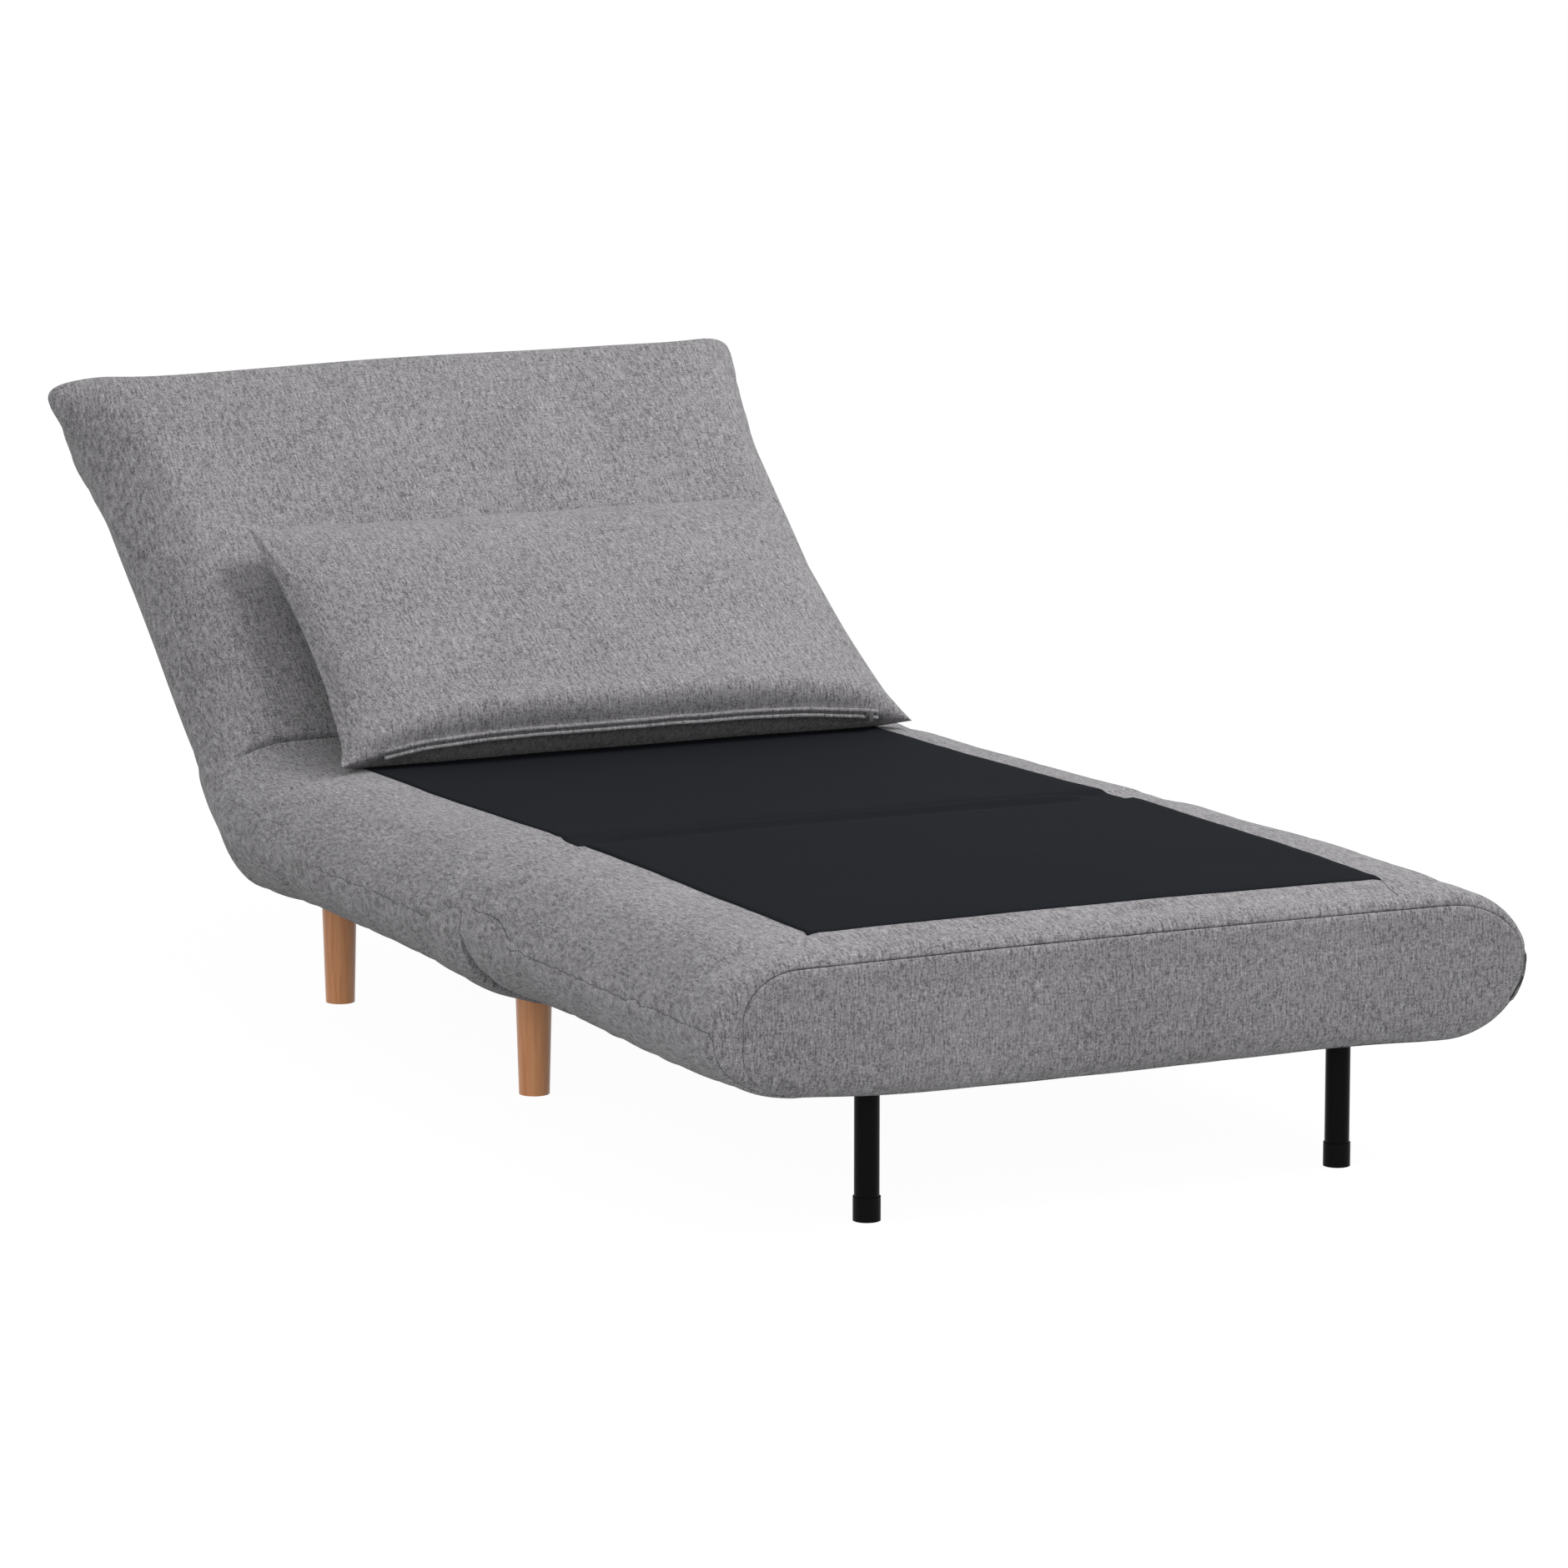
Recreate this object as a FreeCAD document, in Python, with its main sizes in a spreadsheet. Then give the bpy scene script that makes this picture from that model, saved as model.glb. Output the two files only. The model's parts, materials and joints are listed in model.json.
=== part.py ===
import FreeCAD, Part
import Sketcher
import math
import os

# Folding chair bed in its lounge pose: three padded sections in a row.
# The extension folds 180 degrees over onto the seat, the backrest reclines
# on ratchet hinges, and a steel leg frame folds up under the extension.
# X is across the bed, +Y runs from the foot end to the head, +Z is up.

doc = FreeCAD.newDocument("chair_bed")
sheet = doc.addObject("Spreadsheet::Sheet", "sizes")


class Size:
    """A length that knows both its value and its spreadsheet expression."""

    def __init__(self, text, value):
        self.text = text
        self.value = value

    def mix(self, sign, other, swap=False):
        a, b = (size(other), self) if swap else (self, size(other))
        value = {"+": lambda: a.value + b.value, "-": lambda: a.value - b.value,
                 "*": lambda: a.value * b.value, "/": lambda: a.value / b.value}[sign]()
        return Size("(" + a.text + " " + sign + " " + b.text + ")", value)

    def __add__(self, other):
        return self.mix("+", other)

    def __radd__(self, other):
        return self.mix("+", other, True)

    def __sub__(self, other):
        return self.mix("-", other)

    def __rsub__(self, other):
        return self.mix("-", other, True)

    def __mul__(self, other):
        return self.mix("*", other)

    def __rmul__(self, other):
        return self.mix("*", other, True)

    def __truediv__(self, other):
        return self.mix("/", other)

    def __neg__(self):
        return self.mix("*", -1)

    def __float__(self):
        return float(self.value)


def size(number):
    return number if isinstance(number, Size) else Size(repr(float(number)), float(number))


def driving(**values):
    """Write driving dimensions into the sheet and hand them back as sizes."""
    named = []
    for alias, value in values.items():
        driving.row += 1
        sheet.set("A%d" % driving.row, alias)
        sheet.set("B%d" % driving.row, str(value))
        sheet.setAlias("B%d" % driving.row, alias)
        named.append(Size("sizes." + alias, float(value)))
    return named


driving.row = 0


def cosine(angle):
    return Size("cos(" + angle.text + ")", math.cos(math.radians(angle.value)))


def sine(angle):
    return Size("sin(" + angle.text + ")", math.sin(math.radians(angle.value)))


# Sections: outer sizes of the padded parts
BED_WIDTH = 900
FLOOR_CLEARANCE = 130
BED_TOP = 281
bed_width, floor_clearance, bed_top = driving(bed_width=BED_WIDTH, floor_clearance=FLOOR_CLEARANCE,
    bed_top=BED_TOP)
EXTENSION_LENGTH = 610
SEAT_LENGTH = 735
BACK_LENGTH = 612
extension_length, seat_length, back_length = driving(extension_length=EXTENSION_LENGTH,
    seat_length=SEAT_LENGTH, back_length=BACK_LENGTH)
BACK_INSET = 22
BACK_THICKNESS = 148
BACK_END_INSET = 1
back_inset, back_thickness, back_end_inset = driving(back_inset=BACK_INSET,
    back_thickness=BACK_THICKNESS, back_end_inset=BACK_END_INSET)
SEAT_DIP = 9
SEAT_BULGE = 8
CROWN = 7
WAIST = 6
seat_dip, seat_bulge, crown, waist = driving(seat_dip=SEAT_DIP, seat_bulge=SEAT_BULGE, crown=CROWN,
    waist=WAIST)
SEAT_REAR_ROUND = 110
SEAT_REAR_RISE = 62
KNUCKLE_ROOM = 15
seat_rear_round, seat_rear_rise, knuckle_room = driving(seat_rear_round=SEAT_REAR_ROUND,
    seat_rear_rise=SEAT_REAR_RISE, knuckle_room=KNUCKLE_ROOM)
BACK_FLARE_START = 0.82
back_flare_start = driving(back_flare_start=BACK_FLARE_START)[0].value
END_ROLL = 24
FOLD_ROLL = 10
COVER_WALL = 10
PANEL_INSET = 20
PANEL_DEPTH = 14
PANEL_EDGE = 4
end_roll, fold_roll, cover_wall, panel_inset, panel_depth, panel_edge = driving(end_roll=END_ROLL,
    fold_roll=FOLD_ROLL, cover_wall=COVER_WALL, panel_inset=PANEL_INSET, panel_depth=PANEL_DEPTH,
    panel_edge=PANEL_EDGE)
RECLINE_ANGLE = 41.2
UPRIGHT_ANGLE = 67.2
KNUCKLE_GAP = 2.5
recline_angle, upright_angle, knuckle_gap = driving(recline_angle=RECLINE_ANGLE,
    upright_angle=UPRIGHT_ANGLE, knuckle_gap=KNUCKLE_GAP)
CLOTH_BORDER = 66
CLOTH_HALF = 318
cloth_border, cloth_half = driving(cloth_border=CLOTH_BORDER, cloth_half=CLOTH_HALF)
SOFT_GAP = 0.3
CLOTH_THICKNESS = 1.5
soft_gap, cloth_thickness = driving(soft_gap=SOFT_GAP, cloth_thickness=CLOTH_THICKNESS)

# Frames: beech rails and slats
RAIL_WIDTH = 34
SEAT_RAIL_HEIGHT = 86
RAIL_HEIGHT = 60
SLAT_THICKNESS = 10
SLAT_WIDTH = 60
rail_width, seat_rail_height, rail_height, slat_thickness, slat_width = driving(
    rail_width=RAIL_WIDTH, seat_rail_height=SEAT_RAIL_HEIGHT, rail_height=RAIL_HEIGHT,
    slat_thickness=SLAT_THICKNESS, slat_width=SLAT_WIDTH)
SEAT_PADDING = 60
REAR_RAIL_SETBACK = 91
SEAT_REAR_TRIM = 45
seat_padding, rear_rail_setback, seat_rear_trim = driving(seat_padding=SEAT_PADDING,
    rear_rail_setback=REAR_RAIL_SETBACK, seat_rear_trim=SEAT_REAR_TRIM)

# Wooden legs
LEG_INSET = 130
FRONT_LEG_SETBACK = 100
REAR_LEG_SETBACK = 108
leg_inset, front_leg_setback, rear_leg_setback = driving(leg_inset=LEG_INSET,
    front_leg_setback=FRONT_LEG_SETBACK, rear_leg_setback=REAR_LEG_SETBACK)
LEG_TOP_RADIUS = 19.7
LEG_FOOT_RADIUS = 16.2
leg_top_radius, leg_foot_radius = driving(leg_top_radius=LEG_TOP_RADIUS,
    leg_foot_radius=LEG_FOOT_RADIUS)
PLATE_SIDE = 58
PLATE_THICKNESS = 3
BOLT_RADIUS = 4
BOLT_LENGTH = 40
BOLT_GAP = 0.1
plate_side, plate_thickness, bolt_radius, bolt_length, bolt_gap = driving(plate_side=PLATE_SIDE,
    plate_thickness=PLATE_THICKNESS, bolt_radius=BOLT_RADIUS, bolt_length=BOLT_LENGTH,
    bolt_gap=BOLT_GAP)

# Steel leg frame
TUBE_RADIUS = 12.5
TUBE_WALL = 1.5
TUBE_HALF_SPAN = 264
TUBE_SETBACK = 51.5
tube_radius, tube_wall, tube_half_span, tube_setback = driving(tube_radius=TUBE_RADIUS,
    tube_wall=TUBE_WALL, tube_half_span=TUBE_HALF_SPAN, tube_setback=TUBE_SETBACK)
CROSSBAR_OFFSET = 3
CROSSBAR_HEIGHT = 149
BRACKET_HALF_SPAN = 190
BRACKET_WIDTH = 30
crossbar_offset, crossbar_height, bracket_half_span, bracket_width = driving(
    crossbar_offset=CROSSBAR_OFFSET, crossbar_height=CROSSBAR_HEIGHT,
    bracket_half_span=BRACKET_HALF_SPAN, bracket_width=BRACKET_WIDTH)
BRACKET_WALL = 3.5
CAP_RADIUS = 13.7
CAP_HEIGHT = 24
CAP_FLOOR = 4
RUNNING_GAP = 0.06
bracket_wall, cap_radius, cap_height, cap_floor, running_gap = driving(bracket_wall=BRACKET_WALL,
    cap_radius=CAP_RADIUS, cap_height=CAP_HEIGHT, cap_floor=CAP_FLOOR, running_gap=RUNNING_GAP)
RECESS_GAP = 9
recess_gap = driving(recess_gap=RECESS_GAP)[0]

# Fold hinges between extension and seat
FOLD_RISE = 1.5
FOLD_SETBACK = 6
KNUCKLE_RADIUS = 4.5
FOLD_PIN_RADIUS = 2.2
fold_rise, fold_setback, knuckle_radius, fold_pin_radius = driving(fold_rise=FOLD_RISE,
    fold_setback=FOLD_SETBACK, knuckle_radius=KNUCKLE_RADIUS, fold_pin_radius=FOLD_PIN_RADIUS)
LEAF_WIDTH = 60
LEAF_THICKNESS = 2.5
LEAF_DROP = 70
FOLD_HINGE_SPACING = 200
leaf_width, leaf_thickness, leaf_drop, fold_hinge_spacing = driving(leaf_width=LEAF_WIDTH,
    leaf_thickness=LEAF_THICKNESS, leaf_drop=LEAF_DROP, fold_hinge_spacing=FOLD_HINGE_SPACING)

# Recline hinges between seat and backrest
ARM_THICKNESS = 5
ARM_HEIGHT = 30
ARM_REACH = 230
DRUM_RADIUS = 32
ARM_GAP = 0.4
arm_thickness, arm_height, arm_reach, drum_radius, arm_gap = driving(arm_thickness=ARM_THICKNESS,
    arm_height=ARM_HEIGHT, arm_reach=ARM_REACH, drum_radius=DRUM_RADIUS, arm_gap=ARM_GAP)
PIVOT_RADIUS = 6
PIVOT_HEAD_RADIUS = 11
PIVOT_HEAD = 3
pivot_radius, pivot_head_radius, pivot_head = driving(pivot_radius=PIVOT_RADIUS,
    pivot_head_radius=PIVOT_HEAD_RADIUS, pivot_head=PIVOT_HEAD)

# Lumbar pillow
PILLOW_WIDTH = 700
PILLOW_REACH = 198
PILLOW_BELLY = 44
PILLOW_TOP = 308
PILLOW_TOP_DEPTH = 40
pillow_width, pillow_reach, pillow_belly, pillow_top, pillow_top_depth = driving(
    pillow_width=PILLOW_WIDTH, pillow_reach=PILLOW_REACH, pillow_belly=PILLOW_BELLY,
    pillow_top=PILLOW_TOP, pillow_top_depth=PILLOW_TOP_DEPTH)
PILLOW_BOW = 18
PILLOW_LIFT = 1.4
pillow_bow, pillow_lift = driving(pillow_bow=PILLOW_BOW, pillow_lift=PILLOW_LIFT)

doc.recompute()

# Derived places
half_width = bed_width / 2
half_back = half_width - back_inset
half_back_end = half_width - back_end_inset
section_mid = (floor_clearance + bed_top) / 2
pivot_y = extension_length + seat_length
fold_y = extension_length
fold_z = bed_top + fold_rise
back_radius = back_thickness / 2
knuckle_clear = back_radius + knuckle_gap
leg_x = half_width - leg_inset
rail_outer = leg_x + rail_width / 2
rail_inner = leg_x - rail_width / 2
arm_outer = rail_outer + arm_thickness
back_arm_outer = rail_outer - arm_gap
back_rail_outer = back_arm_outer - arm_thickness
wall_front = panel_depth + cover_wall
wall_fold = fold_setback + cover_wall

# The rest pose reaches back to the rounded top end of the backrest
back_reach = (pivot_y + (back_length - end_roll) * cosine(recline_angle)
              + (back_radius - end_roll) * sine(recline_angle) + end_roll)
origin_y = back_reach / 2

NODES = []


def bind(thing, prop, length):
    thing.setExpression(prop, size(length).text)


def settle(thing, where):
    """Stand a finished piece in the frame of the body that carries it."""
    base = {"floor": (size(0), -origin_y, size(0), None),
            "back": (size(0), pivot_y - origin_y, section_mid, recline_angle)}[where]
    x, y, z, turn = base
    angle = turn.value if turn else 0.0
    thing.Placement = FreeCAD.Placement(
        FreeCAD.Vector(x.value, y.value, z.value),
        FreeCAD.Rotation(FreeCAD.Vector(1, 0, 0), angle))
    bind(thing, "Placement.Base.y", y)
    bind(thing, "Placement.Base.z", z)
    if turn:
        bind(thing, "Placement.Rotation.Angle", turn)


def piece(label, where, *things):
    """A named sub-part made of one or more solids."""
    node = doc.addObject("Part::Compound", label)
    node.Label = label
    node.Links = list(things)
    settle(node, where)
    NODES.append(node)
    return node


def block(x, y, z):
    """A box between pairs of coordinates."""
    box = doc.addObject("Part::Box", "block")
    for axis, prop, (low, high) in zip("xyz", ("Length", "Width", "Height"), (x, y, z)):
        bind(box, prop, high - size(low))
        bind(box, "Placement.Base." + axis, low)
    return box


TURNS = {"x": FreeCAD.Rotation(FreeCAD.Vector(0, 1, 0), 90),
         "z": FreeCAD.Rotation(FreeCAD.Vector(0, 0, 1), 0)}


def rod(radius, axis, start, end, across):
    """A cylinder along X or Z; across holds its two other coordinates."""
    bar = doc.addObject("Part::Cylinder", "rod")
    bar.Placement = FreeCAD.Placement(FreeCAD.Vector(0, 0, 0), TURNS[axis])
    bind(bar, "Radius", radius)
    bind(bar, "Height", end - size(start))
    places = {"x": (start,) + across, "z": across + (start,)}[axis]
    for name, place in zip("xyz", places):
        bind(bar, "Placement.Base." + name, place)
    return bar


def cut(base, *tools):
    for tool in tools:
        made = doc.addObject("Part::Cut", "cut")
        made.Base = base
        made.Tool = tool
        made.Refine = True
        base = made
    return base


def fuse(*things):
    made = doc.addObject("Part::MultiFuse", "joined")
    made.Shapes = list(things)
    made.Refine = True
    return made


def common(base, tool):
    made = doc.addObject("Part::Common", "shared")
    made.Base = base
    made.Tool = tool
    return made


def form(shape):
    """A free form whose shape is worked out from the sheet."""
    made = doc.addObject("Part::Feature", "form")
    made.Shape = shape
    return made


def both(make):
    """The left and the right copy of something placed by its side."""
    return [make(-1), make(1)]


def span(side, near, far):
    """Two X coordinates in rising order on one side of the bed."""
    near, far = size(near), size(far)
    return (near, far) if side > 0 else (-far, -near)


# Padded forms

class Station:
    """One cross section of a padded form: its place, half width, low and high."""

    def __init__(self, y, half, low, high, top_crown=0.4, low_crown=0.4):
        self.y, self.half, self.low, self.high = (float(v) for v in (y, half, low, high))
        self.top_crown, self.low_crown = float(top_crown), float(low_crown)

    def wire(self):
        half, low, high = self.half, self.low, self.high
        radius, mid = (high - low) / 2, (high + low) / 2
        flat = half - radius
        lean = radius * math.sqrt(0.5)

        def at(x, z):
            return FreeCAD.Vector(x, self.y, z)

        return Part.Wire([
            Part.Arc(at(-flat, high), at(0, high + self.top_crown), at(flat, high)).toShape(),
            Part.Arc(at(flat, high), at(flat + lean, mid + lean), at(half, mid)).toShape(),
            Part.Arc(at(half, mid), at(flat + lean, mid - lean), at(flat, low)).toShape(),
            Part.Arc(at(flat, low), at(0, low - self.low_crown), at(-flat, low)).toShape(),
            Part.Arc(at(-flat, low), at(-flat - lean, mid - lean), at(-half, mid)).toShape(),
            Part.Arc(at(-half, mid), at(-flat - lean, mid + lean), at(-flat, high)).toShape()])


def rolled(station, roll, way, angles):
    """Stations that round a form over towards one end."""
    made = []
    for angle in angles:
        drop = roll * (1 - math.cos(math.radians(angle)))
        y = station.y + way * roll * math.sin(math.radians(angle))
        made.append(Station(y, station.half - drop, station.low + drop, station.high - drop))
    return made


def padded(stations):
    ordered = sorted(stations, key=lambda station: station.y)
    return Part.makeLoft([station.wire() for station in ordered], True, True)


def hollow(front, rear, half, low, high):
    """The straight stadium-shaped room inside a cover."""
    face = Part.Face(Station(front, half, low, high).wire())
    return face.extrude(FreeCAD.Vector(0, rear - front, 0))


ROLL_ANGLES = (40, 78)
KNUCKLE_ANGLES = (25, 50, 76)
SHARES = (0, 0.3, 0.7, 1)


def swell(share):
    return math.sin(math.pi * share)


def extension_outer():
    front, rear = end_roll.value, (fold_y - fold_setback - fold_roll).value
    low, high = floor_clearance.value, bed_top.value
    body = [Station(front + share * (rear - front), half_width.value - waist.value * swell(share),
                    low, high, 0.4 + crown.value * swell(share), 0.4 + crown.value * swell(share))
            for share in SHARES]
    return padded(rolled(body[0], end_roll.value, -1, ROLL_ANGLES) + body
                  + rolled(body[-1], fold_roll.value, 1, ROLL_ANGLES))


def extension_inner(extra):
    inset = cover_wall.value + extra
    return hollow(wall_front.value + extra, (fold_y - wall_fold).value - extra,
                  (half_width - waist).value - inset, floor_clearance.value + inset, bed_top.value - inset)


def seat_outer():
    """Fuller under the fold, dipping behind it, and rounded under its rear end."""
    front, rear = (fold_y + fold_setback + fold_roll).value, (pivot_y - seat_rear_round).value
    low, high = floor_clearance.value, bed_top.value
    half, dip, bulge = half_width.value, seat_dip.value, seat_bulge.value
    body = [Station(front + share * (rear - front), half - waist.value * swell(share / 2),
                    low - bulge * (1 - swell(share / 2)), high - 2 - (dip - 2) * swell(share / 2))
            for share in SHARES]
    heel = []
    for angle in (25, 50, 70):
        sweep = math.radians(angle)
        heel.append(Station(rear + seat_rear_round.value * math.sin(sweep),
                            body[-1].half - waist.value * (1 - math.cos(sweep)),
                            low + seat_rear_rise.value * (1 - math.cos(sweep)), high - dip))
    return padded(rolled(body[0], fold_roll.value, -1, ROLL_ANGLES) + body + heel)


def seat_inner(extra):
    inset = cover_wall.value + extra
    return hollow((fold_y + wall_fold).value + extra, (pivot_y - seat_rear_round / 2).value,
                  (half_width - waist * 2).value - inset,
                  (floor_clearance + waist).value + inset, (bed_top - seat_dip).value - inset)


def seat_rear_cutter(wall):
    """The hollow that the backrest's round end turns in, and its upright stop."""
    clear, reach = (knuckle_clear + wall).value, seat_length.value
    turn = math.radians(upright_angle.value)
    y, z = pivot_y.value, section_mid.value
    rear = y - (seat_rear_trim + wall).value
    heel = z - math.sqrt(clear ** 2 - (y - rear) ** 2)

    def at(y_place, z_place):
        return FreeCAD.Vector(-bed_width.value, y_place, z_place)

    touch = at(y - clear * math.sin(turn), z + clear * math.cos(turn))
    high = at(touch.y + reach * math.cos(turn), touch.z + reach * math.sin(turn))
    corners = [touch, high, at(y + reach, high.z), at(y + reach, z - reach), at(rear, z - reach),
               at(rear, heel)]
    edges = [Part.makeLine(a, b) for a, b in zip(corners, corners[1:])]
    edges.append(Part.Arc(corners[-1], at(y - clear, z), touch).toShape())
    return form(Part.Face(Part.Wire(edges)).extrude(FreeCAD.Vector(2 * bed_width.value, 0, 0)))


def back_outer():
    """In the backrest's own frame: Y along the back from its pivot, Z out of its face."""
    radius, half, flare = back_radius.value, half_back.value, half_back_end.value
    rear, bulge, draw = (back_length - end_roll).value, crown.value, waist.value / 2
    body = [Station(share * back_flare_start * rear, half - draw * swell(share), -radius, radius,
                    0.4 + bulge * swell(share), 0.4 + bulge / 2 * swell(share)) for share in SHARES]
    head = [Station(rear * (back_flare_start + (1 - back_flare_start) * share),
                    half + (flare - half) * share, -radius, radius) for share in (0.5, 1)]
    return padded(rolled(body[0], radius, -1, KNUCKLE_ANGLES) + body + head
                  + rolled(head[-1], end_roll.value, 1, ROLL_ANGLES))


def back_inner(extra):
    inset = cover_wall.value + extra
    return hollow(-knuckle_room.value + extra, (back_length - wall_front).value - extra,
                  (half_back - waist).value - inset, -back_radius.value + inset, back_radius.value - inset)


def end_panel_form(half, low, high, back, front):
    """A stadium board for the end of a section, with a softened face edge."""
    way, edge = (1 if front > back else -1), panel_edge.value
    inset = panel_inset.value
    base = Station(back, half - inset, low + inset, high - inset)
    rim = Station(front - way * edge, half - inset, low + inset, high - inset)
    return padded([base, rim] + rolled(rim, edge, way, (55,)))


def end_pocket(half, low, high, back, front):
    """The shallow seat that an end panel is set in."""
    inset = panel_inset.value - soft_gap.value
    return form(hollow(back, front, half - inset, low + inset, high - inset))


# Extension section

def fold_hinge_places():
    return [-fold_hinge_spacing, fold_hinge_spacing]


def leaf_slots(way):
    """Openings in a cover's end wall and top edge for the hinge leaves."""
    slots = []
    for x in fold_hinge_places():
        near, far = fold_y, fold_y + way * wall_fold
        y = (near, far) if way > 0 else (far, near)
        slots.append(block((x - leaf_width / 2 - soft_gap, x + leaf_width / 2 + soft_gap), y,
                           (fold_z - leaf_drop - soft_gap, fold_z + knuckle_radius)))
    return slots


def leg_recess():
    """Room under the extension for the folded leg frame."""
    crossbar_y = tube_setback + crossbar_offset
    reach = crossbar_height + recess_gap
    trench = block((-tube_half_span - tube_radius - recess_gap, tube_half_span + tube_radius + recess_gap),
                   (crossbar_y - tube_radius - recess_gap, crossbar_y + tube_radius + recess_gap),
                   (size(0), extension_rail_low))
    channels = both(lambda side: block(
        span(side, tube_half_span - tube_radius - recess_gap, tube_half_span + tube_radius + recess_gap),
        (crossbar_y, crossbar_y + reach), (size(0), crossbar_height + tube_radius + crossbar_offset)))
    return [trench] + channels


extension_rail_low = floor_clearance + seat_padding
extension_rail_high = extension_rail_low + rail_height
extension_foam_low = extension_rail_high + slat_thickness
bolster_x = arm_outer + pivot_head + 1
wide = (-bed_width, bed_width)

extension_wall = cut(form(extension_outer()), form(extension_inner(0)),
                     end_pocket(half_width.value, floor_clearance.value, bed_top.value,
                                -panel_depth.value, panel_depth.value), *leg_recess())
extension_window = block((-cloth_half, cloth_half), (cloth_border, fold_y),
                         (section_mid, bed_top + crown * 2))
extension_window_hole = block((-cloth_half - soft_gap, cloth_half + soft_gap),
                              (cloth_border - soft_gap, fold_y), (section_mid, bed_top + crown * 2))
end_wall_keep = block(wide, (fold_y - wall_fold - soft_gap, fold_y), (size(0), bed_top - cover_wall))
piece("extension_cover", "floor",
      cut(extension_wall, cut(extension_window_hole, end_wall_keep), *leaf_slots(-1)))
piece("extension_black_cloth", "floor",
      cut(common(extension_wall, cut(extension_window, block(
          wide, (fold_y - wall_fold - soft_gap, fold_y), (size(0), bed_top - cover_wall + soft_gap)))),
          *leaf_slots(-1)))
piece("extension_front_panel", "floor",
      form(end_panel_form(half_width.value, floor_clearance.value, bed_top.value,
                          (panel_depth - soft_gap).value, 0)))

extension_core = form(extension_inner(soft_gap.value))
extension_ends = (wall_front + soft_gap, fold_y - wall_fold)
piece("extension_top_foam", "floor",
      common(extension_core, block(wide, extension_ends, (extension_foam_low, bed_top + crown))))
piece("extension_seat_foam", "floor",
      cut(common(extension_core, block(wide, extension_ends, (size(0), extension_rail_low))),
          *leg_recess()))
for name, side in (("left", -1), ("right", 1)):
    piece("extension_%s_bolster" % name, "floor",
          common(extension_core, block(span(side, bolster_x, bed_width), extension_ends,
                                       (extension_rail_low, extension_foam_low))))

extension_front_rail = tube_setback + crossbar_offset - rail_width / 2
extension_frame = (extension_rail_low, extension_rail_high)
piece("extension_front_rail", "floor",
      block((-rail_outer, rail_outer), (extension_front_rail, extension_front_rail + rail_width),
            extension_frame))
piece("extension_rear_rail", "floor",
      block((-rail_outer, rail_outer), (fold_y - wall_fold - rail_width, fold_y - wall_fold),
            extension_frame))
for name, side in (("left", -1), ("right", 1)):
    piece("extension_%s_rail" % name, "floor",
          block(span(side, rail_inner, rail_outer),
                (extension_front_rail + rail_width, fold_y - wall_fold - rail_width), extension_frame))


def slats(start, end, low, count):
    """Beech slats laid across a frame at even spacing."""
    step = (end - start - slat_width) / (count - 1)
    return [block((-rail_outer, rail_outer), (start + step * index, start + step * index + slat_width),
                  (low, low + slat_thickness)) for index in range(count)]


piece("extension_slats", "floor",
      *slats(extension_front_rail, fold_y - wall_fold, extension_rail_high, 5))

# Seat section

seat_rail_low = floor_clearance + cloth_thickness
seat_rail_high = seat_rail_low + seat_rail_height
seat_foam_low = seat_rail_high + slat_thickness
seat_rear_rail = pivot_y - rear_rail_setback
seat_frame_front = fold_y + wall_fold
seat_frame_y = (seat_frame_front, seat_rear_rail)
seat_frame_z = (seat_rail_low, seat_rail_high)

leg_places = [(side * leg_x, y) for y in (fold_y + front_leg_setback, pivot_y - rear_leg_setback)
              for side in (-1, 1)]
plate_low = floor_clearance - plate_thickness
bolt_low = floor_clearance - bolt_length

seat_wall = cut(form(seat_outer()),
                cut(form(seat_inner(0)), seat_rear_cutter(cover_wall)), seat_rear_cutter(size(0)))
plate_reach = plate_side / 2 + soft_gap
frame_opening = block((-leg_x - plate_reach, leg_x + plate_reach),
                      (seat_frame_front - soft_gap, pivot_y - rear_leg_setback + plate_reach),
                      (size(0), seat_rail_high))
seat_window = block((-cloth_half, cloth_half), (fold_y, bed_width * 2),
                    (seat_foam_low, bed_top + crown))
seat_window_hole = block((-cloth_half - soft_gap, cloth_half + soft_gap), (fold_y, bed_width * 2),
                         (seat_foam_low, bed_top + crown))
seat_end_keep = block(wide, (fold_y, fold_y + wall_fold + soft_gap), (size(0), bed_top - cover_wall))
seat_rear_keep = block(wide, (pivot_y - knuckle_clear - cover_wall, bed_width * 2),
                       (size(0), bed_top - cover_wall - seat_dip))
arm_slots = both(lambda side: block(
    span(side, rail_outer - soft_gap, arm_outer + soft_gap),
    (seat_rear_rail, pivot_y),
    (section_mid - arm_height / 2 - soft_gap, section_mid + arm_height / 2 + soft_gap)))
piece("seat_cover", "floor",
      cut(seat_wall, frame_opening, cut(seat_window_hole, seat_end_keep, seat_rear_keep),
          *(leaf_slots(1) + arm_slots)))
piece("seat_black_cloth", "floor",
      cut(common(seat_wall, cut(seat_window, block(
          wide, (fold_y, fold_y + wall_fold + soft_gap), (size(0), bed_top - cover_wall + soft_gap)),
          block(wide, (pivot_y - knuckle_clear - cover_wall - soft_gap, bed_width * 2),
                (size(0), bed_top - cover_wall - seat_dip + soft_gap)))),
          *leaf_slots(1)))
piece("seat_dust_cloth", "floor",
      block((-rail_outer, rail_outer), seat_frame_y, (floor_clearance, seat_rail_low)))

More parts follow.
